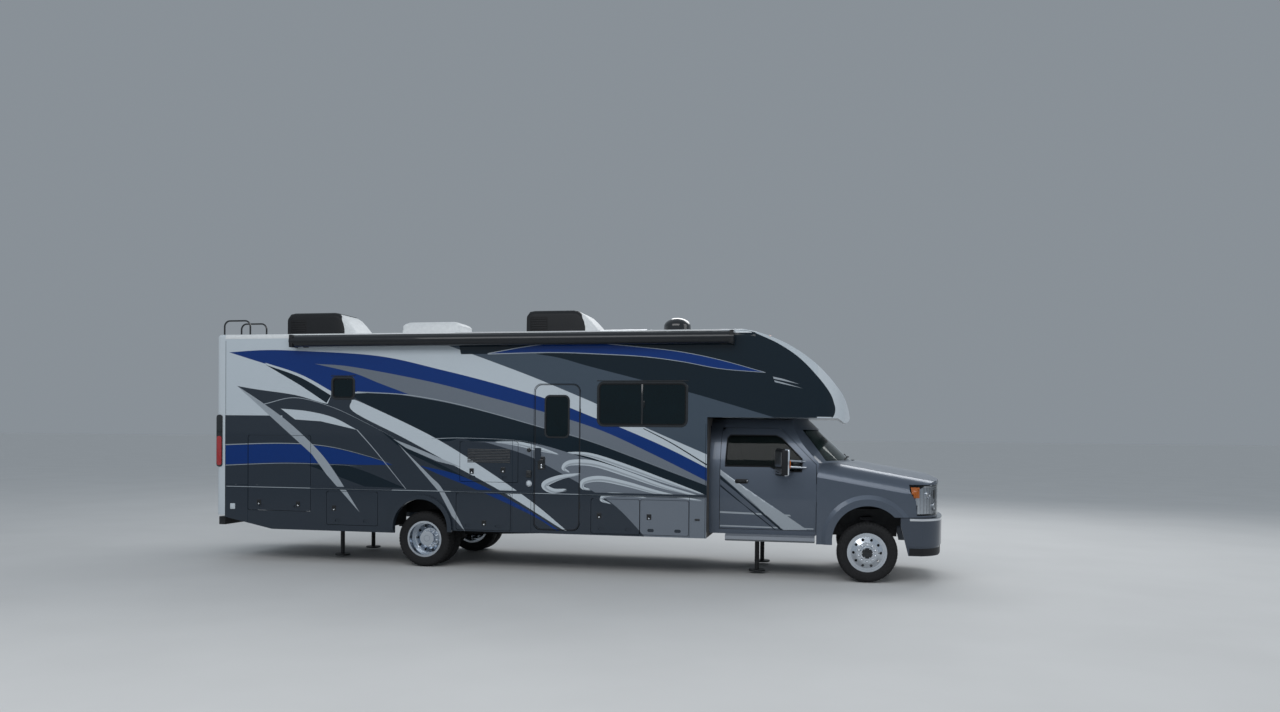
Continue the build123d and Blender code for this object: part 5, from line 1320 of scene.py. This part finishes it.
# Columns: hatch, side, x and z of each latch
latches = [
    ("tall_bay_door", -1, [(-4.519, 0.883), (-3.881, 0.869)]),
    ("rear_bay_door", -1, [(-3.302, 0.825)]), ("middle_bay_door", -1, [(-0.987, 0.671)]),
    ("side_hatch", -1, [(-1.176, 1.404), (-0.710, 1.426)]), ("front_bay_door", -1, [(1.391, 0.820)]),
    ("step_bay_door", -1, [(0.690, 0.820)]), ("left_bay_door", 1, [(0.80, 0.660), (1.70, 0.660)]),
]
for name, side, spots in latches:
    trim = Gathering()
    for x, z in spots:
        for form, y, which in latch_parts:
            trim.add(form, on_side(side, x, z, 1.2838) @ at(0, y, 0), which)
    if name == "side_hatch":
        middle, size = middle_and_size(name)
        place = on_side(side, middle[0], middle[2], 1.2832)
        for i in range(9):
            louvre = plate(size[0] - 0.22, 0.014, 0.006, -0.001, 0.006, 0.003)
            trim.add(louvre, place @ at(0, 0.08 + 0.022 * (i - 4), 0), 0)
    trim.piece(name + "_latches", [gloss_black, black_plastic, chrome], name + "_group",
               "black_plastic")
print("latches", sum(len(spots) for _, _, spots in latches))

# %% [markdown]
# ## Small fittings on the wall
# Beside the door sit a round lamp, a socket under a lid and a round inlet with a bright rim. A
# square white lid is at the back and a small reflector at the front. They are a hand wide at
# most, so each is a turned or cut form of a few steps. One table sets them on the wall.

# %% Wall fittings
# Columns: x, z, step up from there, form, finish
fittings = [
    (-0.330, 1.713, 0.0, turned([(0.030, 0.0), (0.030, 0.006), (0.024, 0.014), (0.010, 0.018),
                                 (0.0, 0.018)], 28), 0),
    (-0.327, 1.377, 0.0, plate(0.075, 0.095, 0.012, 0.0, 0.020, 0.005), 0),
    (-0.327, 1.377, 0.02, plate(0.050, 0.012, 0.005, 0.018, 0.024), 0),
    (-0.326, 1.244, 0.0, turned([(0.044, 0.0), (0.044, 0.006), (0.036, 0.012),
                                 (0.034, 0.008)], 32), 1),
    (-0.326, 1.244, 0.0, turned([(0.034, 0.006), (0.030, 0.013), (0.016, 0.018),
                                 (0.0, 0.019)], 32), 2),
    (-4.950, 0.813, 0.0, plate(0.080, 0.085, 0.010, 0.0, 0.014, 0.004), 2),
    (-4.950, 0.813, 0.0, plate(0.050, 0.050, 0.008, 0.013, 0.017), 2),
    (2.055, 0.800, 0.0, plate(0.070, 0.028, 0.012, 0.0, 0.012, 0.004), 0),
]
wall_kit = Gathering()
for x, z, y, form, which in fittings:
    wall_kit.add(form, on_side(-1, x, z, 1.2838) @ at(0, y, 0), which)
screw = turned([(0.004, 0.0), (0.004, 0.002), (0.0, 0.003)], 10)
for x in (-4.90, -4.55):
    wall_kit.add(screw, on_side(-1, x, 1.14, 1.2842), 1)
wall_kit.piece("wall_fittings", [gloss_black, chrome, gelcoat], "vehicle", "black_plastic")
print("fittings", len(fittings) + 2)

# %% [markdown]
# ## Marker lamps
# Five amber markers stand in a row on the brow of the cap, one lens each on a black foot. Their
# places could be worked out from the brow's curve, but a ray from above finds the surface and
# its slope at once, so each lamp lies flat on it.

# %% Marker lamps
brow = surface_of("nose_cap")
brow_x, markers_half, marker_count = 2.98, 1.0, 5
marker_lens = stacked([(rounded(0.118, 0.040, 0.019), 0.006), (rounded(0.118, 0.040, 0.019), 0.014),
                       (rounded(0.100, 0.030, 0.014), 0.024), (rounded(0.060, 0.014, 0.006), 0.029)])
markers = Gathering()
for i in range(marker_count):
    y = -markers_half + 0.5 * i
    hit, normal, *_ = brow.ray_cast(Vector((brow_x, y * 0.96, 4.2)), Vector((0, 0, -1)))
    place = facing(hit, normal, (1, 0, 0.3))
    markers.add(plate(0.150, 0.062, 0.028, -0.004, 0.008, 0.003), place, 0)
    markers.add(marker_lens, place, 1)
markers.piece("marker_lamps", [black_plastic, amber_lens], "vehicle", "lamp_lens")
print("marker lamps", marker_count)

# %% [markdown]
# ## Corner lamps
# At the rear corners a tall black housing carries the red lamp round the edge, so that it shows
# from the side. The ribs in the red lens could be bumps in its finish, but they are coarse
# enough to break the light, so they are real.

# %% Corner lamps
corner_lamps = Gathering()
# Columns: form, height from the housing's middle, finish
lamp_parts = [(plate(0.100, 0.780, 0.040, -0.002, 0.012, 0.005), 0.0, 0),
              (plate(0.082, 0.440, 0.034, 0.008, 0.022, 0.006), -0.150, 1),
              (plate(0.082, 0.110, 0.030, 0.008, 0.018, 0.005), 0.155, 0)]
lamp_parts += [(plate(0.070, 0.006, 0.003, 0.021, 0.0235, 0.001, 3), -0.150 + 0.05 * (i - 3.5), 1)
               for i in range(8)]
for side, _ in both:
    for form, y, which in lamp_parts:
        corner_lamps.add(form, on_side(side, -5.176, 1.790, 1.2832) @ at(0, y, 0), which)
corner_lamps.piece("corner_lamps", [gloss_black, red_lens], "vehicle", "red_lens")
print("corner lamp faces", len(corner_lamps.faces))

# %% [markdown]
# ## The cab doors
# The cab's doors are curved, so their stripes can't be flat film: the film is pressed sideways
# onto the door by rays, as on the nose. The rubber round the window could be cut as a ring of
# film too, but it is round and stands up, so it is a thin bar that follows the window's outline.

# %% Cab door films, window rubber and handles
door_stripes = [
    ("silver", [(2.33, 0.905), (3.280, 0.880), (3.300, 0.858), (2.33, 0.880)]),
    ("silver", [(2.33, 0.714), (3.60, 0.702), (3.60, 0.685), (2.33, 0.694)]),
    ("black", [(2.33, 1.395), (2.534, 1.225), (3.190, 0.669), (3.150, 0.669), (2.535, 1.187),
               (2.33, 1.345)]),
    ("black", [(2.33, 1.275), (2.535, 1.107), (3.096, 0.669), (3.075, 0.669), (2.535, 1.085),
               (2.33, 1.245)]),
    ("silver", [(2.33, 1.475), (3.515, 0.679), (3.197, 0.669), (2.534, 1.233), (2.33, 1.405)]),
]
door_paints = {"silver": paints["silver"], "black": paints["black"]}
door_skin = [(2.327, 0.669), (3.634, 0.669), (3.634, 1.46), (2.327, 1.50)]
cab_window = [(2.401, 1.532), (3.0075, 1.532), (3.1375, 1.470), (3.4275, 1.470), (3.4275, 1.635),
              (3.1575, 1.905), (3.0775, 1.945), (2.456, 1.945), (2.421, 1.910)]
sail = [(3.322, 1.462), (3.436, 1.462), (3.436, 1.640), (3.400, 1.676), (3.322, 1.612)]
grip = [(-0.082, 0.0, 0.002), (-0.070, 0.0, 0.018), (-0.050, 0.0, 0.027), (0.0, 0.0, 0.030),
        (0.050, 0.0, 0.027), (0.070, 0.0, 0.018), (0.082, 0.0, 0.002)]
handle_lock = turned([(0.010, 0.0), (0.010, 0.004), (0.006, 0.005), (0.0, 0.005)], 18)
for side, word in both:
    body, inwards = word + "_cab_door_group", (0, -side, 0)
    panel, pane = word + "_cab_door", word + "_door_glass"
    cast_film(word + "_door_stripes", [panel], body, side, door_skin, door_stripes, door_paints,
              0.04, 0.0011)
    cast_film(word + "_window_sail", [pane], body, side, sail, [("sail", sail)],
              {"sail": gloss_black}, 0.04, 0.0040)
    surface = surface_of(panel, pane)
    line = []
    for a, b in closed_edges(shrunk(cab_window, -0.006)):
        for t in np.linspace(0, 1, 5, endpoint=False):
            start = (a[0] + (b[0] - a[0]) * t, side * 1.8, a[1] + (b[1] - a[1]) * t)
            line.append(touch(surface, start, inwards, 0.001))
    hit, normal, *_ = surface.ray_cast(Vector((2.624, side * 1.8, 1.320)), Vector(inwards))
    place = facing(hit, normal)
    trim = Gathering()
    trim.add(swept(line + line[:2], 0.009, 8), None, 3)
    trim.add(plate(0.185, 0.060, 0.026, -0.003, 0.004), place, 1)
    trim.add(swept(grip, 0.014, 10, 0.55), place, 0)
    trim.add(handle_lock, place @ at(0.078, 0.0, 0.004), 2)
    trim.piece(word + "_cab_handle", [gloss_black, black_plastic, chrome, seal_rubber], body,
               "black_plastic")
print("cab doors", len(both))

# %% [markdown]
# ## Mirrors
# A towing mirror is a black shell with a bright cap over its front, held on two tubes. The
# frame has the head and the tubes. The bright cap could be a painted patch, but it stands proud
# with an edge of its own. So shell and cap are layers of rounded outlines a few millimetres over
# the head, and the two glasses are thin plates in its back.

# %% Mirror shells, caps, glass and tubes
mirror_turn = math.radians(25)
# Columns: height in the head, how far the outline is drawn in there
mirror_rows = ((-0.175, 0.020), (-0.171, 0.010), (-0.160, 0.003), (-0.150, 0.0), (0.150, 0.0),
               (0.160, 0.003), (0.171, 0.010), (0.175, 0.020))


def mirror_layers(grow):
    """Outlines of the head from bottom to top, softened at both ends like the head itself."""
    return [(rounded(0.110 + 2 * (grow - cut), 0.280 + 2 * (grow - cut), 0.040 - cut * 0.8, 8),
             z + math.copysign(grow, z)) for z, cut in mirror_rows]


for side, word in both:
    head = at(axle_front - 1.120, side * 1.300, 1.595) @ Matrix.Rotation(-side * mirror_turn, 4, "Z")
    mirror = Gathering()
    mirror.add(stacked(mirror_layers(0.0025)), head, 0)
    verts, faces = stacked(mirror_layers(0.0055))
    mirror.add((verts, [f for f in faces if min(verts[i][0] for i in f) > -0.020]), head, 1)
    for z, tall, radius in ((0.045, 0.200, 0.030), (-0.115, 0.080, 0.024)):
        mirror.add(plate(0.235, tall, radius, 0.0, 0.0025, 0.001),
                   head @ facing((-0.0585, 0, z), (-1, 0, 0)), 2)
    lamp = head @ facing((0.061, side * 0.125, -0.02), (1, 0, 0))
    mirror.add(plate(0.020, 0.110, 0.009, -0.003, 0.003), lamp, 3)
    for z in (1.520, 1.600):
        start = Vector((axle_front - 0.820, side * (1.735 - z / 2), z))
        end = Vector((axle_front - 1.090, side * 1.260, z + 0.020))
        mirror.add(swept([start.lerp(end, t) for t in (0.02, 0.35, 0.7, 1.0)], 0.0185, 14), None, 1)
    mirror.piece(word + "_mirror", [black_plastic, chrome, bright_steel, amber_lens],
                 word + "_cab_door_group", "black_plastic", 40)
print("mirrors", len(both))

# %% [markdown]
# ## Inside the headlamps
# Under the clear lens of a headlamp lies a bright bucket, and in it a dark projector, a bowl for
# the high beam and an amber corner. A flat bright sheet behind the lens would shine, but it
# wouldn't wrap round the corner. So the bucket is the lens's own surface moved inwards, with
# upright flutes, and the bowls are turned forms set in it.

# %% Headlamp insides
lens_surface = surface_of("headlamps")
angles = range(17, 83, 3)       # degrees from straight ahead
heights = [0.925 + 0.0125 * i for i in range(31)]
amber_from, amber_above = 62, 1.13
# Columns: angle, height, radius, dark or bright
bowls = ((27, 1.180, 0.056, True), (50, 1.180, 0.044, False), (30, 1.020, 0.058, False))


def under_lens(side, angle, z, depth):
    """Point under the lens and the lens's outward direction there."""
    out = Vector((math.cos(math.radians(angle)), side * math.sin(math.radians(angle)), 0))
    hit, normal, *_ = lens_surface.ray_cast(Vector((4.75, side * 0.45, z)) + out * 1.5, -out)
    return (hit - normal * depth, normal) if hit else (None, out)


for side, word in both:
    lamp = Gathering()
    grid = [[under_lens(side, angle, z, 0.030 + 0.004 * (c % 2))[0] for c, angle in enumerate(angles)]
            for z in heights]
    for r in range(len(heights) - 1):
        for c in range(len(angles) - 1):
            corners = [grid[r][c], grid[r][c + 1], grid[r + 1][c + 1], grid[r + 1][c]]
            if all(corners):
                amber = angles[c] > amber_from and heights[r] > amber_above
                lamp.add((corners, [(0, 1, 2, 3)]), None, 3 if amber else 0)
    for angle, z, size, dark in bowls:
        spot, out = under_lens(side, angle, z, 0.026)
        place = facing(spot, Vector((out.x, out.y, 0)).normalized())
        lamp.add(turned([(size, -0.02), (size * 1.05, 0.004), (size * 0.98, 0.008),
                         (size * 0.80, -0.010), (size * 0.45, -0.024)], 28), place, 1 if dark else 0)
        lens = [(size * 0.78 * math.cos(math.radians(a)),
                 -0.012 + size * 0.34 * math.sin(math.radians(a)))
                for a in range(0, 91, 15)]
        lens[-1] = (0.0, lens[-1][1])
        lamp.add(turned(lens, 28), place, 1 if dark else 2)
    bar = [under_lens(side, a, 1.285, 0.016)[0] for a in range(20, 64, 4)]
    lamp.add(swept([b for b in bar if b], 0.007, 8), None, 2)
    lamp.piece(word + "_headlamp_inside", [chrome, gloss_black, bright_steel, amber_lens], "vehicle",
               "lamp_lens", 40)
print("headlamp bowls", len(both) * len(bowls))

# %% [markdown]
# ## Behind the grille and in the bumper's opening
# Air passes between the grille's bars, and the radiator's dark fins show there. An empty hole
# would look through to the engine bay. So a dark plate with upright fins stands behind the
# grille, and a plate with a crossed mesh closes the opening in the bumper.

# %% Grille core and bumper mesh
core = Gathering()
# Columns: place, the plate's width, height and corner, then its bars: width, height, corner,
# top, how many, step across, step up
cores = [
    ((5.150, 0, 1.095), (1.06, 0.40, 0.03), [(0.008, 0.37, 0.003, 0.010, 25, 0.042, 0)]),
    ((5.262, 0, 0.566), (0.92, 0.20, 0.02), [(0.90, 0.010, 0.004, 0.016, 5, 0, 0.036),
                                             (0.006, 0.19, 0.002, 0.012, 13, 0.070, 0)]),
]
for middle, back, bars in cores:
    place = facing(middle, (1, 0, 0))
    core.add(plate(*back, -0.004, 0.004), place, 0)
    for wide, tall, corner, top, count, across, upwards in bars:
        for i in range(count):
            step = i - count // 2
            core.add(plate(wide, tall, corner, 0.003, top, 0.002, 2),
                     place @ at(step * across, step * upwards, 0), 1)
core.piece("grille_core", [seal_rubber, black_plastic], "vehicle", "black_plastic")
print("grille core faces", len(core.faces))

# %% [markdown]
# ## The bumper's bright strip and dark valance
# A chromed strip runs round the bumper's top and a black plastic valance round its bottom. Both
# follow its bow. A bar bent to the same curve would have to be matched to it at each end, so
# they are skins, pressed on by rays that point at the middle of the bow from all round it.

# %% Bumper strip and valance
bow_middle, ray_start = 4.60, 2.0
bow_turns = [math.radians(a) for a in np.linspace(-76, 76, 60)]


def bumper_skin(name, heights, coat, lift):
    rays = [((bow_middle + ray_start * math.cos(a), ray_start * math.sin(a), z),
             (-math.cos(a), -math.sin(a), 0), (a, z)) for a in bow_turns for z in heights]
    grid_skin(name, ["front_bumper"], "vehicle", rays, len(heights), [coat], lift)
    print(name, len(rays), "rays")


bumper_skin("bumper_strip", (0.838, 0.850, 0.860, 0.8675), chrome, 0.0022)
bumper_skin("bumper_valance", np.linspace(0.376, 0.474, 5), black_plastic, 0.0018)

# %% [markdown]
# ## Wipers
# Two wipers rest at the foot of the windscreen, each a rubber blade under a flat arm. A straight
# bar would sink into the bowed glass, so the blade's line is dropped onto it by rays and the arm
# stands a little above the blade.

# %% Wipers
screen = surface_of("windscreen")
wipers = Gathering()
# Columns: x and y of the blade's outer end, x and y of its inner end
for start, end in (((4.035, 0.60), (4.000, 0.03)), ((4.045, -0.06), (3.985, -0.60))):
    line = []
    for t in np.linspace(0, 1, 12):
        x, y = (a + (b - a) * t for a, b in zip(start, end))
        line.append(touch(screen, (x, y, 3.0), (0, 0, -1), 0.008))
    line = [spot for spot in line if spot]
    wipers.add(swept(line, 0.006, 8), None, 0)
    arm = [line[1] + Vector((0.02, 0, 0.004)), line[len(line) // 3] + Vector((0.004, 0, 0.012)),
           line[len(line) // 2] + Vector((0, 0, 0.010))]
    wipers.add(swept(arm, 0.008, 8, 0.6), None, 1)
wipers.piece("wipers", [seal_rubber, black_plastic], "vehicle", "black_plastic")
print("wiper faces", len(wipers.faces))

# %% [markdown]
# ## Sewn seats: the swell
# Each cab seat is a stuffed cushion and back with side bolsters, stitched channels and a
# headrest. The pads could be sculpted by hand, but stuffed cloth has a swell of its own, so each
# pad starts as a slim closed form, and Blender's cloth blows it up like a cushion. The swell is
# capped to stay in the frame's own seat. Channels are pressed in afterwards, because the new
# net of faces that the cloth needs would wipe them out.

# %% Pads blown up as cloth
pressure, last_step, quick_share = 4.0, 20, 0.7


def evaluated(thing):
    return thing.evaluated_get(bpy.context.evaluated_depsgraph_get())


def points_of(mesh):
    return np.array([tuple(v.co) for v in mesh.vertices])


def blown(name, form, voxel, most):
    """Closed form remeshed, blown up as cloth, and eased back where it grew more than most."""
    mesh = bpy.data.meshes.new(name)
    mesh.from_pydata(form[0], [], form[1])
    pad = placed(bpy.data.objects.new(name, mesh))
    remesh = pad.modifiers.new("remesh", "REMESH")
    remesh.mode = "VOXEL"
    remesh.voxel_size = voxel
    ready = bpy.data.meshes.new_from_object(evaluated(pad))
    pad.modifiers.clear()
    pad.data = ready
    start = points_of(ready)
    cloth = pad.modifiers.new("cloth", "CLOTH")
    cloth.settings.use_pressure = True
    cloth.settings.uniform_pressure_force = pressure
    cloth.settings.effector_weights.gravity = 0.0
    for step in range(1, last_step + 1):
        bpy.context.scene.frame_set(step)
    end = points_of(evaluated(pad).to_mesh())
    pad.modifiers.clear()
    bpy.context.scene.frame_set(1)
    move = end - start
    far = np.linalg.norm(move, axis=1, keepdims=True)
    end = start + move * np.minimum(1.0, most / np.maximum(far, 1e-9))
    faces = [tuple(f.vertices) for f in ready.polygons]
    bpy.data.objects.remove(pad)
    print(name, len(faces), "faces, grew", round(float(far.max()) * 1000), "mm")
    return end, faces


def pressed(points, lines, axes, out, width=0.022, depth=0.009):
    """Points near drawn lines moved against out, as a row of stitches pulls cloth in."""
    flat = points[:, axes]
    out = np.array(out, float)
    on_top = ((points - points.mean(axis=0)) @ out) > 0.01
    moved = points.copy()
    for a, b in lines:
        a, along = np.array(a), np.array(b) - np.array(a)
        t = np.clip(((flat - a) @ along) / (along @ along), 0, 1)
        near = np.linalg.norm(flat - (a + t[:, None] * along), axis=1)
        pull = np.where(on_top, np.clip(1 - near / width, 0, 1) ** 2 * depth, 0)
        moved -= pull[:, None] * out
    return moved


print("sewing tools ready")

# %% [markdown]
# ## Sewn seats: the pads
# A pad could be a rounded box, but a real one is narrow at its faces and full in its middle. So
# it is a stack of rounded outlines, each drawn in by the room that the swell needs. The back
# leans as it rises. Seams run along the bolsters and across the channels between them.

# %% Cushion, back and headrest
slim = 0.018


def layer(x, wide, deep, radius, z):
    return rounded(wide - 2 * slim, deep - 2 * slim, radius, 6, x), z


def back_layer(t, share):
    """Outline of the back at t from its foot to its top, at a share of its full size."""
    return layer(2.5225 - 0.149 * t, (0.13 - 0.02 * t) * share,
                 (0.50 - 0.10 * max(0, t - 0.75) / 0.25) * share, 0.034, 1.255 + 0.68 * t)


cushion = stacked([layer(2.732, 0.50, 0.46, 0.05, 1.194), layer(2.732, 0.54, 0.51, 0.06, 1.212),
                   layer(2.732, 0.55, 0.52, 0.07, 1.250), layer(2.732, 0.54, 0.51, 0.07, 1.285),
                   layer(2.735, 0.50, 0.46, 0.08, 1.302)])
back = stacked([back_layer(*row) for row in ((0.0, 0.90), (0.04, 1.0), (0.3, 1.0), (0.6, 1.0),
                                             (0.8, 1.0), (0.96, 1.0), (1.0, 0.9))])
headrest = stacked([layer(2.370 - 0.018 * t, 0.080 * k + 0.012, 0.255 * k, 0.018, 1.968 + 0.108 * t)
                    for t, k in ((0.0, 0.86), (0.15, 1.0), (0.5, 1.0), (0.85, 1.0), (1.0, 0.86))])
# Columns: closed form, edge of the remesh's cubes, most that a point may move
pads = {"cushion": blown("cushion", cushion, 0.012, 0.022), "back": blown("back", back, 0.012, 0.020),
        "headrest": blown("headrest", headrest, 0.007, 0.010)}
cushion_seams = [((2.45, y), (3.01, y)) for y in (-0.165, 0.165)]
cushion_seams += [((x, -0.165), (x, 0.165)) for x in (2.60, 2.70, 2.80, 2.90)]
back_seams = [((y, 1.30), (y, 1.88)) for y in (-0.155, 0.155)]
back_seams += [((-0.155, z), (0.155, z)) for z in (1.40, 1.52, 1.64, 1.76)]
back_front = (0.71 / 0.7275, 0.0, 0.159 / 0.7275)
shaped = {
    "cushion": pressed(pads["cushion"][0], cushion_seams, [0, 1], (0, 0, 1)),
    "back": pressed(pads["back"][0], back_seams, [1, 2], back_front),
    "headrest": pads["headrest"][0],
}
print("seams", len(cushion_seams) + len(back_seams))

# %% [markdown]
# ## Seats in place
# Both seats are alike, so each pad is blown up once and set down twice. One more division rounds
# the small faces off. Under the cushion stand a plate, a waisted box and two rails, and the
# headrest sits on two posts. All of it stands for the frame's plain seats.

# %% Seats in place
seat_y = 0.48
for side, word in both:
    for part, points in shaped.items():
        verts = [(x, y + side * seat_y, z) for x, y, z in points]
        pad = new_piece(word + "_seat_" + part, verts, pads[part][1], [seat_hide], "vehicle",
                        None, True)
        softer = pad.modifiers.new("softer", "SUBSURF")
        softer.levels = softer.render_levels = 1
        soft = bpy.data.meshes.new_from_object(evaluated(pad))
        pad.modifiers.clear()
        pad.data = soft
        soft.shade_smooth()
        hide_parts("seats")
    base = Gathering()
    foot = at(2.7325, side * seat_y, 0.990)
    base.add(plate(0.44, 0.38, 0.03, 0.0, 0.030, 0.004), foot, 0)
    waist = [(rounded(0.40, 0.34, 0.03), 0.026), (rounded(0.36, 0.30, 0.03), 0.080),
             (rounded(0.42, 0.36, 0.03), 0.150), (rounded(0.44, 0.40, 0.03), 0.190)]
    base.add(stacked(waist), foot, 1)
    for y in (-0.15, 0.15):
        base.add(plate(0.46, 0.030, 0.008, 0.186, 0.205, 0.003), foot @ at(0, y, 0), 0)
    for y in (-0.06, 0.06):
        ends = [(2.374, side * seat_y + y, 1.90), (2.366, side * seat_y + y, 2.00)]
        base.add(swept(ends, 0.006, 10), None, 2)
    for y in (-0.268, 0.268):
        hinge = facing((2.52, side * seat_y + y * 0.97, 1.235), (0, math.copysign(1, y), 0))
        base.add(plate(0.13, 0.075, 0.03, -0.006, 0.004, 0.003), hinge, 1)
    made = base.piece(word + "_seat_base", [chassis_steel, black_plastic, bright_steel], "vehicle",
                      "black_plastic")
    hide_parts("seats")
print("seats", len(both))

# %% [markdown]
# ## Behind the windscreen
# Little of the dashboard shows, but a bare block would be seen through the glass. Its trim could
# be cut into the block, but the frame's mesh can't change. So a framed instrument case, a screen,
# a glove box and four round vents are set on its face, where rays meet it.

# %% Dashboard trim
dash = surface_of("dashboard")
trim = Gathering()


def on_dash(y, z):
    hit, *_ = dash.ray_cast(Vector((2.4, y, z)), Vector((1, 0, 0)))
    return facing(hit, (-1, 0, 0))


# Columns: y, z, width, height, finish
dash_panels = ((0.48, 1.36, 0.34, 0.13, 1), (0.0, 1.33, 0.24, 0.17, 1), (-0.48, 1.22, 0.40, 0.16, 0))
for y, z, wide, high, which in dash_panels:
    place = on_dash(y, z)
    rim = rounded(wide + 0.03, high + 0.03, 0.03)
    trim.add(frame_ring(rim, 0.018, -0.02, 0.012, 0.003), place, 0)
    trim.add(plate(wide, high, 0.02, -0.02, 0.004, 0.001), place, which)
air_vent = turned([(0.046, -0.02), (0.046, 0.008), (0.042, 0.011), (0.036, 0.006), (0.034, -0.004),
                   (0.0, -0.004)], 24)
for y in (-0.72, -0.20, 0.20, 0.72):
    place = on_dash(y, 1.35)
    trim.add(air_vent, place, 2)
    for slat in (-0.018, 0.0, 0.018):
        trim.add(plate(0.066, 0.004, 0.002, -0.002, 0.005, 0.001, 2), place @ at(0, slat, 0), 0)
trim.piece("dashboard_trim", [black_plastic, gloss_black, bright_steel], "vehicle", "black_plastic")
print("dashboard trim faces", len(trim.faces))

# %% [markdown]
# ## The slide-out's window and seal
# The long window in the slide-out lies in a shallow recess of its wall. Its pane is a dark sheet
# with a rounded black frame like the others, and a thin seal runs round the room's face. They
# could ride on the coach with the other windows, but then they would stay behind. So they ride
# on the slide-out.

# %% Slide-out window and seal
middle, size = middle_and_size("slide_room")
pane = on_side(1, middle[0], 2.334, slide_half - 0.010)
slide = Gathering()
slide.add(plate(1.290, 0.522, 0.074, 0.001, 0.005, 0.001, 8), pane, 2)
slide.add(frame_ring(rounded(1.336, 0.568, 0.093, 8), 0.030, 0.002, 0.015), pane, 0)
slide.add(frame_ring(rounded(1.270, 0.502, 0.066, 8), 0.010, 0.003, 0.009), pane, 1)
for x in (-0.33, 0.33):
    slide.add(plate(0.026, 0.500, 0.004, 0.003, 0.010), pane @ at(x, 0, 0), 0)
face = on_side(1, middle[0], middle[2], slide_half)
rim = rounded(size[0] - 0.004, size[2] - 0.004, 0.020, 4)
slide.add(frame_ring(rim, 0.028, -0.001, 0.0035, 0.001), face, 3)
slide_finishes = [gloss_black, seal_rubber, coach_glass, awning_metal]
slide.piece("slide_window", slide_finishes, "slide_out", "black_plastic")
print("slide-out window faces", len(slide.faces))

# %% [markdown]
# ## The awning's ends
# A rolled awning is a vinyl roll between two arm heads in a long case. The case is the frame's.
# The seams of the roll could be bumps, but they are lines that run the whole length, so they are
# two thin bars on it. The heads and three brackets close it off.

# %% Awning heads, seams and brackets
low, high = (Vector(corner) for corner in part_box("awning"))
case = surface_of("awning")
awning = Gathering()
for x in (low.x + 0.030, high.x - 0.030):
    place = on_side(-1, x, (low.z + high.z) / 2, 1.470)
    awning.add(plate(0.056, high.z - low.z - 0.01, 0.012, -0.170, 0.000, 0.004), place, 0)
for z, radius in ((3.335, 0.006), (3.235, 0.004)):
    line = [touch(case, (x, -2.0, z), (0, 1, 0), 0.001)
            for x in np.linspace(low.x + 0.06, high.x - 0.06, 14)]
    awning.add(swept([spot for spot in line if spot], radius, 8), None, 1)
for x in (-3.76, -0.70, 2.40):
    awning.add(plate(0.10, 0.16, 0.02, 0.0, 0.010), on_side(-1, x, 3.250, 1.2835), 0)
awning.piece("awning_heads", [black_plastic, awning_vinyl], "vehicle", "awning_cloth")
print("awning length", round(high.x - low.x, 2))

# %% [markdown]
# ## The plate holder
# At the back hangs a number plate under its own lamp. The plate stays blank. A painted rectangle
# would do from far, but the holder's rim and two screws give it its thickness.

# %% Plate holder
holder = Gathering()
plate_place = facing((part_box("rear_cap")[0][0] - 0.001, 0.0, 1.02), (-1, 0, 0))
plate_screw = turned([(0.006, 0.011), (0.006, 0.014), (0.0, 0.015)], 12)
# Columns: form, x and y from the plate's middle, finish
holder_parts = [(plate(0.330, 0.180, 0.012, 0.0, 0.010, 0.003), 0, 0, 0),
                (plate(0.300, 0.150, 0.010, 0.009, 0.012, 0.001), 0, 0, 1),
                (plate(0.120, 0.022, 0.008, 0.0, 0.026, 0.004), 0, 0.108, 0),
                (plate_screw, -0.125, 0.055, 2), (plate_screw, 0.125, 0.055, 2)]
for form, x, y, which in holder_parts:
    holder.add(form, plate_place @ at(x, y, 0), which)
holder.piece("plate_holder", [black_plastic, awning_metal, bright_steel], "vehicle", "black_plastic")
print("plate holder faces", len(holder.faces))
